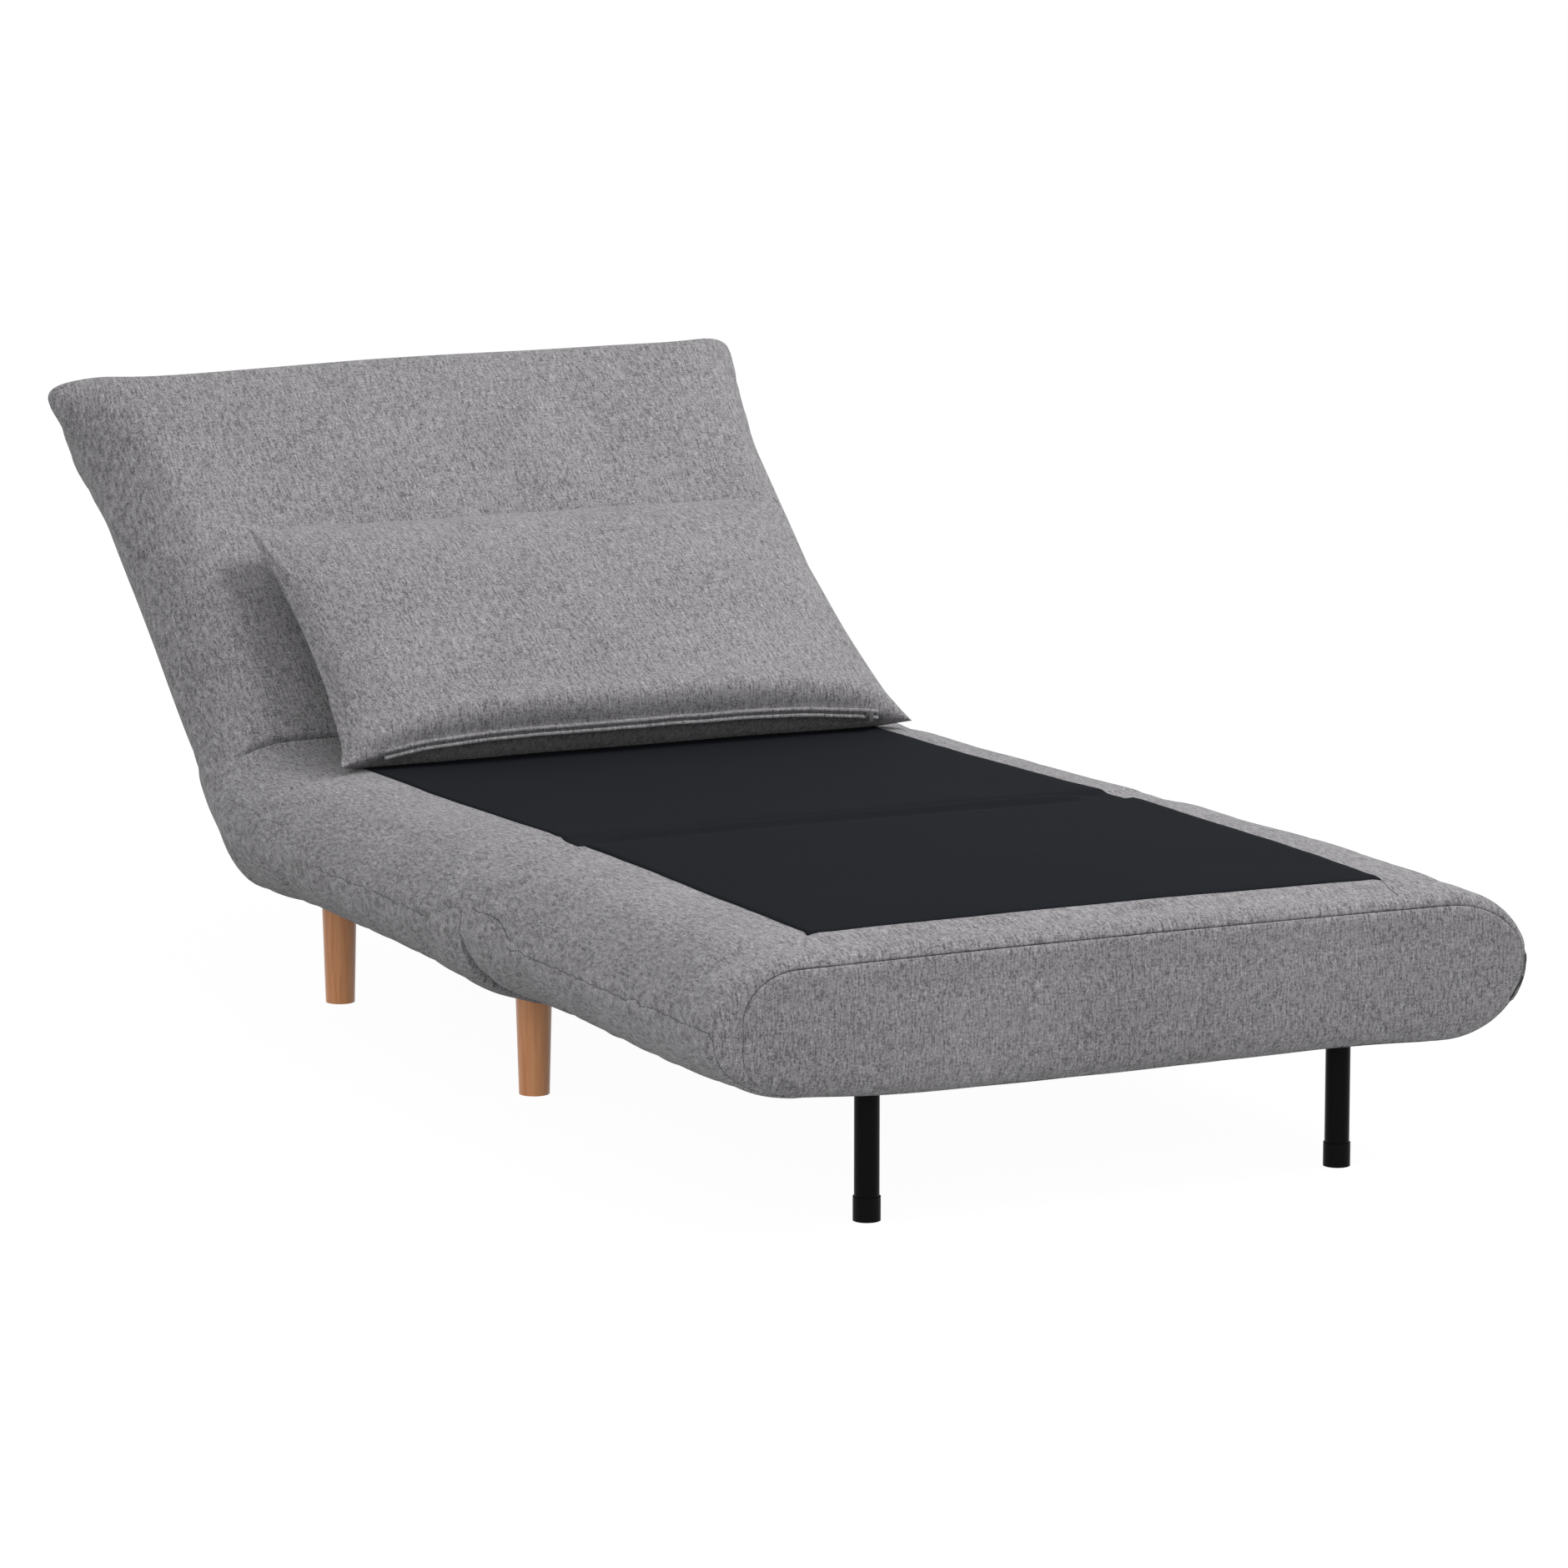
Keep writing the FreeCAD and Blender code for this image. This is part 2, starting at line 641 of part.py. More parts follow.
seat_core = cut(form(seat_inner(soft_gap.value)), seat_rear_cutter(cover_wall + soft_gap))
seat_ends = (seat_frame_front, pivot_y)
piece("seat_top_foam", "floor",
      common(seat_core, block(wide, seat_ends, (seat_foam_low, bed_top))))
for name, side in (("left", -1), ("right", 1)):
    piece("seat_%s_bolster" % name, "floor",
          common(seat_core, block(span(side, bolster_x, bed_width), seat_ends,
                                  (size(0), seat_foam_low))))

for name, y in (("front", (seat_frame_front, seat_frame_front + rail_width)),
                ("rear", (seat_rear_rail - rail_width, seat_rear_rail))):
    piece("seat_%s_rail" % name, "floor",
          block((-rail_outer, rail_outer), y, seat_frame_z))
for name, side in (("left", -1), ("right", 1)):
    piece("seat_%s_rail" % name, "floor",
          block(span(side, rail_inner, rail_outer),
                (seat_frame_front + rail_width, seat_rear_rail - rail_width), seat_frame_z))
piece("seat_slats", "floor", *slats(seat_frame_front, seat_rear_rail, seat_rail_high, 6))

# Wooden legs


def plane_of(body, role):
    return next(o for o in body.Origin.OriginFeatures if o.Role == role)


def outline(body, points):
    """A closed sketch of straight lines whose corners are bound to the sheet."""
    sketch = body.newObject("Sketcher::SketchObject", "outline")
    sketch.AttachmentSupport = [(plane_of(body, "XZ_Plane"), "")]
    sketch.MapMode = "FlatFace"
    corners = [FreeCAD.Vector(float(a), float(b), 0) for a, b in points]
    for start, end in zip(corners, corners[1:] + corners[:1]):
        sketch.addGeometry(Part.LineSegment(start, end), False)
    count = len(corners)
    for index in range(count):
        sketch.addConstraint(Sketcher.Constraint("Coincident", index, 2, (index + 1) % count, 1))
    for index, (a, b) in enumerate(points):
        for kind, line, place in (("DistanceX", -2, a), ("DistanceY", -1, b)):
            if float(place) == 0.0:
                sketch.addConstraint(Sketcher.Constraint("PointOnObject", index, 1, line))
            else:
                added = sketch.addConstraint(
                    Sketcher.Constraint(kind, -1, 1, index, 1, float(place)))
                sketch.setExpression("Constraints[%d]" % added, size(place).text)
    return sketch


def turned(points):
    """A body of revolution about Z from corners of radius and height."""
    body = doc.addObject("PartDesign::Body", "turned")
    sketch = outline(body, points)
    spin = body.newObject("PartDesign::Revolution", "spin")
    spin.Profile = sketch
    spin.ReferenceAxis = (sketch, ["V_Axis"])
    spin.Angle = 360
    sketch.Visibility = False
    body.Tip = spin
    return body


def stand(body, place):
    """Move a turned body to its X and Y place."""
    for axis, length in zip("xy", place):
        bind(body, "Placement.Base." + axis, length)
    return body


def wooden_leg(place):
    leg = turned([(size(0), size(0)), (leg_foot_radius, size(0)),
                  (leg_top_radius, plate_low), (size(0), plate_low)])
    return cut(stand(leg, place),
               rod(bolt_radius + bolt_gap, "z", bolt_low - bolt_gap, plate_low, place))


for name, places in (("front", leg_places[:2]), ("rear", leg_places[2:])):
    piece(name + "_wooden_legs", "floor", *[wooden_leg(place) for place in places])
piece("leg_mounting_plates", "floor",
      *[cut(block((x - plate_side / 2, x + plate_side / 2), (y - plate_side / 2, y + plate_side / 2),
                  (plate_low, floor_clearance)),
            rod(bolt_radius + bolt_gap, "z", plate_low, floor_clearance, (x, y)))
        for x, y in leg_places])
piece("leg_hanger_bolts", "floor",
      *[rod(bolt_radius, "z", bolt_low, floor_clearance, place) for place in leg_places])

# Steel leg frame, folded about its crossbar

crossbar_y = tube_setback + crossbar_offset
tube_top = crossbar_height + tube_radius


def tube(radius, axis, start, end, across):
    return cut(rod(radius, axis, start, end, across),
               rod(radius - tube_wall, axis, start - 1, end + 1, across))


for name, side in (("left", -1), ("right", 1)):
    foot = (side * tube_half_span, tube_setback)
    plug = rod(tube_radius, "z", tube_top - tube_wall, tube_top, foot)
    piece("steel_leg_" + name, "floor",
          fuse(tube(tube_radius, "z", cap_floor, tube_top - tube_wall, foot), plug))
copes = both(lambda side: rod(tube_radius + bolt_gap, "z", size(0), tube_top,
                              (side * tube_half_span, tube_setback)))
piece("leg_crossbar", "floor",
      cut(tube(tube_radius, "x", -tube_half_span, tube_half_span, (crossbar_y, crossbar_height)), *copes))
cap_outline = [(size(0), size(0)), (cap_radius, size(0)), (cap_radius, cap_height),
               (tube_radius + running_gap, cap_height), (tube_radius + running_gap, cap_floor),
               (size(0), cap_floor)]
piece("leg_end_caps", "floor",
      *both(lambda side: stand(turned(cap_outline), (side * tube_half_span, tube_setback))))


def bracket(side):
    ring = bracket_wall + tube_radius
    x = span(side, bracket_half_span - bracket_width / 2, bracket_half_span + bracket_width / 2)
    hanger = block(x, (crossbar_y - ring, crossbar_y + ring), (crossbar_height, extension_rail_low))
    saddle = rod(ring, "x", x[0], x[1], (crossbar_y, crossbar_height))
    bore = rod(tube_radius + running_gap, "x", x[0] - 1, x[1] + 1, (crossbar_y, crossbar_height))
    return cut(fuse(hanger, saddle), bore)


piece("leg_frame_brackets", "floor", *both(bracket))

# Fold hinges

KNUCKLES = {1: ((-0.5, -0.18), (0.18, 0.5)), -1: ((-0.165, 0.165),)}


def fold_leaf(x, way):
    """A cranked leaf screwed to a rail, with its knuckles on the fold axis."""
    rail_face = fold_y + way * wall_fold
    plate_face = fold_y + way * (wall_fold - leaf_thickness)
    web_end = fold_y + way * (knuckle_radius + 1.5)

    def rising(a, b):
        return (a, b) if way > 0 else (b, a)

    across = (x - leaf_width / 2, x + leaf_width / 2)
    web_z = (fold_z - knuckle_radius, fold_z - knuckle_radius + leaf_thickness)
    parts = [block(across, rising(plate_face, rail_face), (fold_z - leaf_drop, web_z[1])),
             block(across, rising(web_end, plate_face), web_z)]
    for start, end in KNUCKLES[way]:
        knuckle_x = (x + leaf_width * start, x + leaf_width * end)
        parts.append(block(knuckle_x, rising(fold_y, web_end), web_z))
        parts.append(rod(knuckle_radius, "x", knuckle_x[0], knuckle_x[1], (fold_y, fold_z)))
    bore = rod(fold_pin_radius + running_gap, "x", across[0] - 1, across[1] + 1, (fold_y, fold_z))
    return cut(fuse(*parts), bore)


piece("fold_hinge_seat_leaves", "floor", *[fold_leaf(x, 1) for x in fold_hinge_places()])
piece("fold_hinge_extension_leaves", "floor", *[fold_leaf(x, -1) for x in fold_hinge_places()])
piece("fold_hinge_pins", "floor",
      *[rod(fold_pin_radius, "x", x - leaf_width / 2, x + leaf_width / 2, (fold_y, fold_z))
        for x in fold_hinge_places()])

# Backrest section, in its own frame about the recline pivot

back_slit_x = (back_arm_outer - arm_thickness - pivot_head - 2 * arm_gap, arm_outer + pivot_head + soft_gap)
slits = both(lambda side: block(span(side, *back_slit_x), (-back_thickness, drum_radius + 1),
                                (-back_thickness, back_thickness)))
back_end = back_length - panel_depth
back_pocket = end_pocket(half_back_end.value, -back_radius.value, back_radius.value,
                         back_end.value, (back_length + panel_depth).value)
piece("backrest_cover", "back",
      cut(form(back_outer()), form(back_inner(0)), back_pocket, *slits))
piece("backrest_top_panel", "back",
      form(end_panel_form(half_back_end.value, -back_radius.value, back_radius.value,
                          (back_end + soft_gap).value, back_length.value)))

back_core = form(back_inner(soft_gap.value))
back_rail_z = (-rail_height / 2, rail_height / 2)
back_slat_high = rail_height / 2 + slat_thickness
back_bottom_rail = drum_radius + 4
back_top_rail = back_length - wall_front - soft_gap - rail_width
back_along = (-back_thickness, back_length)
piece("backrest_front_foam", "back",
      cut(common(back_core, block(wide, back_along, (back_slat_high, back_thickness))), *slits))
piece("backrest_rear_foam", "back",
      cut(common(back_core, block(wide, back_along, (-back_thickness, -rail_height / 2))), *slits))
for name, side in (("left", -1), ("right", 1)):
    piece("backrest_%s_bolster" % name, "back",
          common(back_core, block(span(side, bolster_x, bed_width), back_along,
                                  (-rail_height / 2, back_slat_high))))
    piece("backrest_%s_rail" % name, "back",
          block(span(side, back_rail_outer - rail_width, back_rail_outer),
                (back_bottom_rail, back_top_rail), back_rail_z))
back_across = (-back_rail_outer + rail_width, back_rail_outer - rail_width)
piece("backrest_bottom_rail", "back",
      block(back_across, (back_bottom_rail, back_bottom_rail + rail_width), back_rail_z))
piece("backrest_top_rail", "back",
      block((-back_rail_outer, back_rail_outer), (back_top_rail, back_top_rail + rail_width),
            back_rail_z))
back_slat_step = (back_top_rail + rail_width - slat_width - back_bottom_rail) / 4
piece("backrest_slats", "back",
      *[block((-back_rail_outer, back_rail_outer),
              (back_bottom_rail + back_slat_step * index, back_bottom_rail + back_slat_step * index + slat_width),
              (rail_height / 2, back_slat_high)) for index in range(5)])

# Recline hinges: a seat arm and a back arm with pressed tooth housings on one pivot


def hinge_arm(x, y, middle, drum):
    """A flat arm between two Y places with its drum and bore at the pivot."""
    pivot = (drum, middle)
    arm = block(x, y, (middle - arm_height / 2, middle + arm_height / 2))
    housing = rod(drum_radius, "x", x[0], x[1], pivot)
    bore = rod(pivot_radius + running_gap, "x", x[0] - 1, x[1] + 1, pivot)
    return cut(fuse(arm, housing), bore)


for name, side in (("left", -1), ("right", 1)):
    piece("%s_recline_seat_arm" % name, "floor",
          hinge_arm(span(side, rail_outer, arm_outer), (pivot_y - arm_reach, pivot_y), section_mid, pivot_y))
    piece("%s_recline_back_arm" % name, "back",
          hinge_arm(span(side, back_rail_outer, back_arm_outer), (size(0), arm_reach), size(0), size(0)))


def pivot_pin(side):
    shank = span(side, back_rail_outer - arm_gap, arm_outer)
    heads = [span(side, back_rail_outer - arm_gap - pivot_head, back_rail_outer - arm_gap),
             span(side, arm_outer, arm_outer + pivot_head)]
    where = (pivot_y, section_mid)
    return fuse(rod(pivot_radius, "x", shank[0], shank[1], where),
                *[rod(pivot_head_radius, "x", low, high, where) for low, high in heads])


piece("recline_pivot_pins", "floor", *both(pivot_pin))

# Lumbar pillow, in the backrest's frame, wedged between the seat and the back

def pillow_shape():
    turn = math.radians(recline_angle.value)
    seat_rise = (bed_top - seat_dip + pillow_lift - section_mid).value
    face = back_radius.value + crown.value + 2 * soft_gap.value

    def local(y, z):
        return (y * math.cos(turn) + z * math.sin(turn), -y * math.sin(turn) + z * math.cos(turn))

    corner_y = (seat_rise * math.cos(turn) - face) / math.sin(turn)
    corner = local(corner_y, seat_rise)
    top = (pillow_top.value, face + pillow_top_depth.value)
    rear = (pillow_top.value - pillow_top_depth.value, face)
    wires = []
    for share in (-0.98, -0.8, -0.45, 0, 0.45, 0.8, 0.98):
        full = math.sqrt(1 - share ** 4)
        front = local(-pillow_reach.value - pillow_bow.value * full, seat_rise)
        slope = math.atan2(top[1] - front[1], top[0] - front[0])

        def on_face(part):
            """A point on the bulging front face, from the front edge up to the top seam."""
            bulge = 4 * part * (1 - part) * pillow_belly.value * full
            return (front[0] + (top[0] - front[0]) * part - math.sin(slope) * bulge,
                    front[1] + (top[1] - front[1]) * part + math.cos(slope) * bulge)

        def toward(a, b):
            return (a[0] + (b[0] - a[0]) * full, a[1] + (b[1] - a[1]) * full)

        back_top = toward(top, rear)
        shoulder = ((top[0] + back_top[0]) / 2 + 5 * full, (top[1] + back_top[1]) / 2 - 5 * full)
        heel = toward(((front[0] + top[0]) / 2, (front[1] + top[1]) / 2), corner)
        outline_points = [on_face(part) for part in (0, 0.15, 0.4, 0.65, 0.88, 1)]
        outline_points += [shoulder, back_top, heel]
        corners = [FreeCAD.Vector(share * pillow_width.value / 2, u, n) for u, n in outline_points]
        wires.append(Part.makePolygon(corners + corners[:1]))
    return Part.makeLoft(wires, True, True)


piece("pillow", "back", form(pillow_shape()))

doc.recompute()

for thing in doc.Objects:
    if "Invalid" in thing.State or "Error" in thing.State:
        raise RuntimeError(thing.Label + " failed to rebuild")
for node in NODES:
    if node.Shape.isNull() or not node.Shape.isValid() or not node.Shape.Solids:
        raise RuntimeError(node.Label + " has no valid solid")

os.makedirs("parts", exist_ok=True)
for node in NODES:
    node.Shape.exportStep("parts/%s.step" % node.Label)
print("nodes", len(NODES), "origin y", round(origin_y.value, 3))
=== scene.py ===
import json
from math import asin, cos, exp, inf, pi, radians, sin

import bmesh
import bpy
import numpy as np
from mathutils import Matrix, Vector, noise
from mathutils.bvhtree import BVHTree
from mathutils.kdtree import KDTree


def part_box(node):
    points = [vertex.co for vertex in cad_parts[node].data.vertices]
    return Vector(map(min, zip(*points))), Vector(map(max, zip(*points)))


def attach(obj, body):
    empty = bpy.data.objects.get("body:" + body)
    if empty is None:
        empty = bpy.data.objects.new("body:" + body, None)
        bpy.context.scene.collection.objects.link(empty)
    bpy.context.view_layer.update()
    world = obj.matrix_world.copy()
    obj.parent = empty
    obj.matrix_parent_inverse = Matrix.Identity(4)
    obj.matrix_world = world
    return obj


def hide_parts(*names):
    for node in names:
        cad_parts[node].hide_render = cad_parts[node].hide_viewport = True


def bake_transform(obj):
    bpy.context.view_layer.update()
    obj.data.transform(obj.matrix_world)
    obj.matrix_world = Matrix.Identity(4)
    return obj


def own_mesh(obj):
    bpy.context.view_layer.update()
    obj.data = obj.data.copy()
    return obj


# Folding chair bed: the upholstery, cloth, pillow and small fittings dressed over the CAD frame.
# Lengths are in metres. X is across the bed, +Y runs towards the head, +Z is up.

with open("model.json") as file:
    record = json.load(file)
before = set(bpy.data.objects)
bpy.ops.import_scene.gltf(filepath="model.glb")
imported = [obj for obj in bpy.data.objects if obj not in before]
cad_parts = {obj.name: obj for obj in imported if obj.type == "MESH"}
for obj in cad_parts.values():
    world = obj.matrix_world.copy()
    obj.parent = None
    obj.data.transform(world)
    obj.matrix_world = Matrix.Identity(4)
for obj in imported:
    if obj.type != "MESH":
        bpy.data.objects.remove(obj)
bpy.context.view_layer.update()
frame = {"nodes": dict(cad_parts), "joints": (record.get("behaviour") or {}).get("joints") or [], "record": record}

MM = 0.001


def mm(*lengths):
    """Lengths that are given in millimetres."""
    return tuple(length * MM for length in lengths)


# Places taken from the frame
joints = {joint["name"]: joint for joint in frame["joints"]}
fold = Vector(joints["extension_fold"]["pos_m"])
pivot = Vector(joints["backrest_recline"]["pos_m"])
lean = -radians(joints["backrest_recline"]["range_deg"][0])
along_y, along_z = cos(lean), sin(lean)
front_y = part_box("extension_cover")[0].y
bed_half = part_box("extension_cover")[1].x
section_mid = pivot.z
top_z = fold.z - 1.5 * MM
low_z = 2 * section_mid - top_z

# Padding sizes
SIDE_REACH, NOSE_REACH, NOSE_DEPTH = mm(126, 92, 34)
CROWN, WAIST, NOSE_SAG = mm(5, 4, 2)
SEAT_DIP, SEAT_BULGE = mm(12, 8)
SEAT_HEEL_ROUND, SEAT_HEEL_RISE = mm(120, 54)
HOLLOW_RADIUS, UPRIGHT = 76.5 * MM, radians(67.2)
BACK_RADIUS, BACK_HALF, BACK_END_REACH, BACK_LENGTH = mm(74, 421, 52, 612)
CLOTH_HALF, CLOTH_BORDER = mm(320, 66)
FOLD_GAP, FOLD_DEPTH = mm(0.7, 12)

# The lips of cover and panel beside their seam: run past it and depth below the surface, in millimetres
COVER_LIP = ((-6, 0.1), (-2.6, 0.4), (-0.9, 1.1), (-0.3, 2.4), (-0.1, 8))
PANEL_LIP = ((0.2, 7), (0.3, 2.4), (0.8, 1.1), (2.4, 0.4), (6, 0.1))

# Mesh detail of the padded sections, and how long they swell
SIDE_STEPS, FLAT_STEPS = 34, 56
RING = 2 * (SIDE_STEPS + FLAT_STEPS)
SWELL_FRAMES = 20


# Materials

def set_input(tree, place, value):
    """Link a wire to an input socket, or put a plain value on it."""
    if isinstance(value, Wire):
        tree.links.new(value.socket, place)
    else:
        place.default_value = value


class Wire:
    """A shader socket that takes part in sums and products."""

    def __init__(self, tree, socket):
        self.tree, self.socket = tree, socket

    def combined(self, operation, other):
        node = self.tree.nodes.new("ShaderNodeMath")
        node.operation = operation
        for place, value in zip(node.inputs, (self, other)):
            set_input(self.tree, place, value)
        return Wire(self.tree, node.outputs[0])

    def __add__(self, other):
        return self.combined("ADD", other)

    def __mul__(self, other):
        return self.combined("MULTIPLY", other)

    def __sub__(self, other):
        return self.combined("SUBTRACT", other)


class Finish:
    """A material built from one principled shader."""

    def __init__(self, name, roughness, **fixed):
        self.material = bpy.data.materials.new(name)
        self.material.use_nodes = True
        self.tree = self.material.node_tree
        self.shader = self.tree.nodes["Principled BSDF"]
        self.shader.inputs["Roughness"].default_value = roughness
        for key, value in fixed.items():
            self.shader.inputs[key.replace("_", " ")].default_value = value

    def node(self, kind, output=0, **inputs):
        made = self.tree.nodes.new(kind)
        for key, value in inputs.items():
            set_input(self.tree, made.inputs[key], value)
        return Wire(self.tree, made.outputs[output])

    def noise(self, scale, detail=2.0, roughness=0.5, stretch=(1, 1, 1)):
        """Noise in the object's own coordinates, drawn out along the axes with a small stretch."""
        coordinates = self.node("ShaderNodeTexCoord", output="Object")
        place = self.node("ShaderNodeMapping", Vector=coordinates, Scale=stretch)
        return self.node("ShaderNodeTexNoise", Vector=place, Scale=scale, Detail=detail, Roughness=roughness)

    def colour(self, factor, stops):
        """Base colour from a ramp over a factor."""
        made = self.tree.nodes.new("ShaderNodeValToRGB")
        points = made.color_ramp.elements
        while len(points) < len(stops):
            points.new(0.5)
        for point, (where, shade) in zip(points, stops):
            point.position, point.color = where, (*shade, 1)
        self.tree.links.new(factor.socket, made.inputs["Fac"])
        self.tree.links.new(made.outputs["Color"], self.shader.inputs["Base Color"])

    def bump(self, height, distance, strength):
        made = self.node("ShaderNodeBump", Distance=distance, Strength=strength, Height=height)
        self.tree.links.new(made.socket, self.shader.inputs["Normal"])


def woven_grey(name, tone=1.0):
    """Heathered cloth: pale and dark slubs over a mid grey weave."""
    light, mid, dark = (0.52, 0.512, 0.525), (0.295, 0.286, 0.297), (0.105, 0.099, 0.103)
    finish = Finish(name, 0.95, Sheen_Weight=0.12, Sheen_Roughness=0.6, Specular_IOR_Level=0.1)
    fleck = finish.noise(460, 2.0, 0.7)
    along = finish.noise(450, 2.0, 0.6, (1, 0.2, 0.2))
    across = finish.noise(430, 2.0, 0.6, (0.3, 1, 1))
    cloud = finish.noise(9)
    weave = fleck * 0.43 + along * 0.36 + across * 0.17 + (cloud - 0.5) * 0.06
    stops = [(0.37, dark, 1), (0.45, mid, 0.72), (0.50, mid, 1), (0.55, mid, 1.12), (0.64, light, 1)]
    finish.colour(weave, [(where, tuple(c * share * tone for c in shade)) for where, shade, share in stops])
    finish.bump(weave, 0.6 * MM, 0.8)
    return finish.material


def smooth_black(name):
    finish = Finish(name, 0.85, Specular_IOR_Level=0.01)
    weave = finish.noise(1300, 1.0)
    finish.colour(weave, [(0.3, (0.0125, 0.0139, 0.0172)), (0.7, (0.0172, 0.0188, 0.0226))])
    finish.bump(weave, 0.15 * MM, 0.4)
    return finish.material


def stained_beech(name):
    finish = Finish(name, 0.36, Coat_Weight=0.12, Coat_Roughness=0.15)
    grain = finish.noise(130, 4.0, 0.6, (1, 1, 0.05))
    pores = finish.noise(900, 2.0, 0.5, (1, 1, 0.03))
    finish.colour(grain * 0.75 + pores * 0.25, [(0.3, (0.54, 0.20, 0.072)), (0.5, (0.73, 0.31, 0.122)),
                                                (0.72, (0.82, 0.40, 0.175))])
    return finish.material


def planed_beech(name):
    finish = Finish(name, 0.6)
    grain = finish.noise(160, 4.0, 0.6, (0.06, 1, 1))
    finish.colour(grain, [(0.3, (0.50, 0.33, 0.18)), (0.7, (0.66, 0.47, 0.29))])
    return finish.material


def plain(name, colour, roughness, **fixed):
    finish = Finish(name, roughness, **fixed)
    finish.shader.inputs["Base Color"].default_value = (*colour, 1)
    return finish.material


GREY = woven_grey("grey_weave")
# Painted shade: near-black colour of the thin tubes along the seams, which draw the shadow line of each seam
# groove.
PAINTED_SEAM_SHADOW = plain("painted_seam_shadow_line", (0.045, 0.044, 0.044), 0.9)
STITCH = plain("grey_stitch_thread", (0.27, 0.265, 0.27), 0.75)
TAPE = woven_grey("zip_tape_grey", tone=0.8)
BLACK = smooth_black("black_inner_cloth")
ZINC = plain("zinc_steel", (0.55, 0.56, 0.57), 0.35, Metallic=1.0)
TEETH = plain("grey_zip_teeth", (0.09, 0.09, 0.093), 0.5)

FINISH_OF_SLOT = {
    "grey_fabric": GREY, "zinc_steel": ZINC,
    "black_cloth": plain("black_nonwoven", (0.016, 0.016, 0.017), 0.9),
    "foam": plain("foam", (0.80, 0.74, 0.55), 0.95),
    "frame_wood": planed_beech("planed_beech"), "leg_wood": stained_beech("stained_beech"),
    "black_plastic": plain("black_plastic", (0.0045, 0.0045, 0.005), 0.42, Specular_IOR_Level=0.05),
    "black_steel": plain("satin_black_steel", (0.0035, 0.0035, 0.0042), 0.28, Specular_IOR_Level=0.05)}
for row in frame["record"]["subparts"]:
    node = frame["nodes"][row["node"]]
    node.data.materials.clear()
    node.data.materials.append(FINISH_OF_SLOT[row["material_slot"]])


# Mesh helpers

def shown(name, data):
    """An object of the scene for a mesh, lamp or camera."""
    made = bpy.data.objects.new(name, data)
    bpy.context.scene.collection.objects.link(made)
    return made


def piece_from(name, points, faces, material):
    """A smooth-shaded mesh object with outward faces."""
    mesh = bpy.data.meshes.new(name)
    mesh.from_pydata([tuple(p) for p in points], [], faces)
    shape = bmesh.new()
    shape.from_mesh(mesh)
    bmesh.ops.recalc_face_normals(shape, faces=shape.faces)
    shape.to_mesh(mesh)
    shape.free()
    mesh.polygons.foreach_set("use_smooth", [True] * len(mesh.polygons))
    mesh.materials.append(material)
    return shown(name, mesh)


def of_vertices(piece, kind):
    """Each vertex's place ("co") or outward direction ("normal")."""
    found = np.empty(len(piece.data.vertices) * 3)
    piece.data.vertices.foreach_get(kind, found)
    return found.reshape(-1, 3)


def places_of(piece):
    return of_vertices(piece, "co")


def move_to(piece, points):
    piece.data.vertices.foreach_set("co", np.asarray(points, float).ravel())
    piece.data.update()


def push_out(piece, rise_at):
    """Move each vertex along its normal by what a function gives for its place."""
    points = places_of(piece)
    move_to(piece, points + of_vertices(piece, "normal") * rise_at(points)[:, None])


def bake(piece):
    """Apply the modifiers that are on a piece."""
    graph = bpy.context.evaluated_depsgraph_get()
    mesh = bpy.data.meshes.new_from_object(piece.evaluated_get(graph), depsgraph=graph)
    piece.modifiers.clear()
    piece.data = mesh
    return piece


def finer(piece):
    divide = piece.modifiers.new("finer", "SUBSURF")
    divide.levels = divide.render_levels = 1
    return bake(piece)


def smoothstep(share):
    share = np.clip(share, 0, 1)
    return share * share * (3 - 2 * share)


def ease(share):
    return float(smoothstep(share))


def within(value, low, high, edge):
    """1 between two levels, falling to 0 over an edge outside them."""
    return smoothstep((value - low + edge) / edge) * smoothstep((high + edge - value) / edge)


def surface_of(piece):
    return BVHTree.FromPolygons([tuple(p) for p in places_of(piece)],
                                [tuple(f.vertices) for f in piece.data.polygons])


def dress(piece, body, *nodes, slot="grey_fabric", fill=None):
    """Let a piece ride a body and stand for nodes, which it hides; its slot and fill are not used."""
    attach(piece, body)
    if nodes:
        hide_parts(*nodes)


def between_rings(count, around):
    """Faces between each of a run of rings and the next."""
    return [(row * around + step, row * around + after, (row + 1) * around + after, (row + 1) * around + step)
            for row in range(count - 1) for step in range(around) for after in ((step + 1) % around,)]


def closed_run(name, rings, material):
    """Skin a run of small rings and close both ends."""
    around, points = len(rings[0]), np.concatenate(rings)
    caps = [tuple(range(around)), tuple(range(len(points) - around, len(points)))]
    return piece_from(name, points, between_rings(len(rings), around) + caps, material)


# Padded sections are rings of a rounded section, drawn from the middle of the top towards +X

def section_ring(y, half, low, high, side, top_bulge=0.0, low_bulge=0.0):
    """One ring: a crowned top and bottom between elliptical sides."""
    radius, middle, flat = (high - low) / 2, (high + low) / 2, half - side
    turn = np.linspace(0, np.pi, SIDE_STEPS, endpoint=False)
    half_top = np.linspace(0, 1, FLAT_STEPS // 2, endpoint=False)
    bottom, top = np.linspace(0, 1, FLAT_STEPS, endpoint=False), np.full(FLAT_STEPS // 2, high)
    x = np.concatenate([half_top * flat, flat + side * np.sin(turn), flat * (1 - 2 * bottom),
                        -flat - side * np.sin(turn), (half_top - 1) * flat])
    z = np.concatenate([top, middle + radius * np.cos(turn), np.full(FLAT_STEPS, low),
                        middle - radius * np.cos(turn), top])
    crown = np.where(np.abs(x) <= flat, 1 - (x / flat) ** 2, 0)
    z = z + crown * np.where(z > middle, top_bulge, -low_bulge)
    return np.column_stack([x, np.full(RING, y), z])


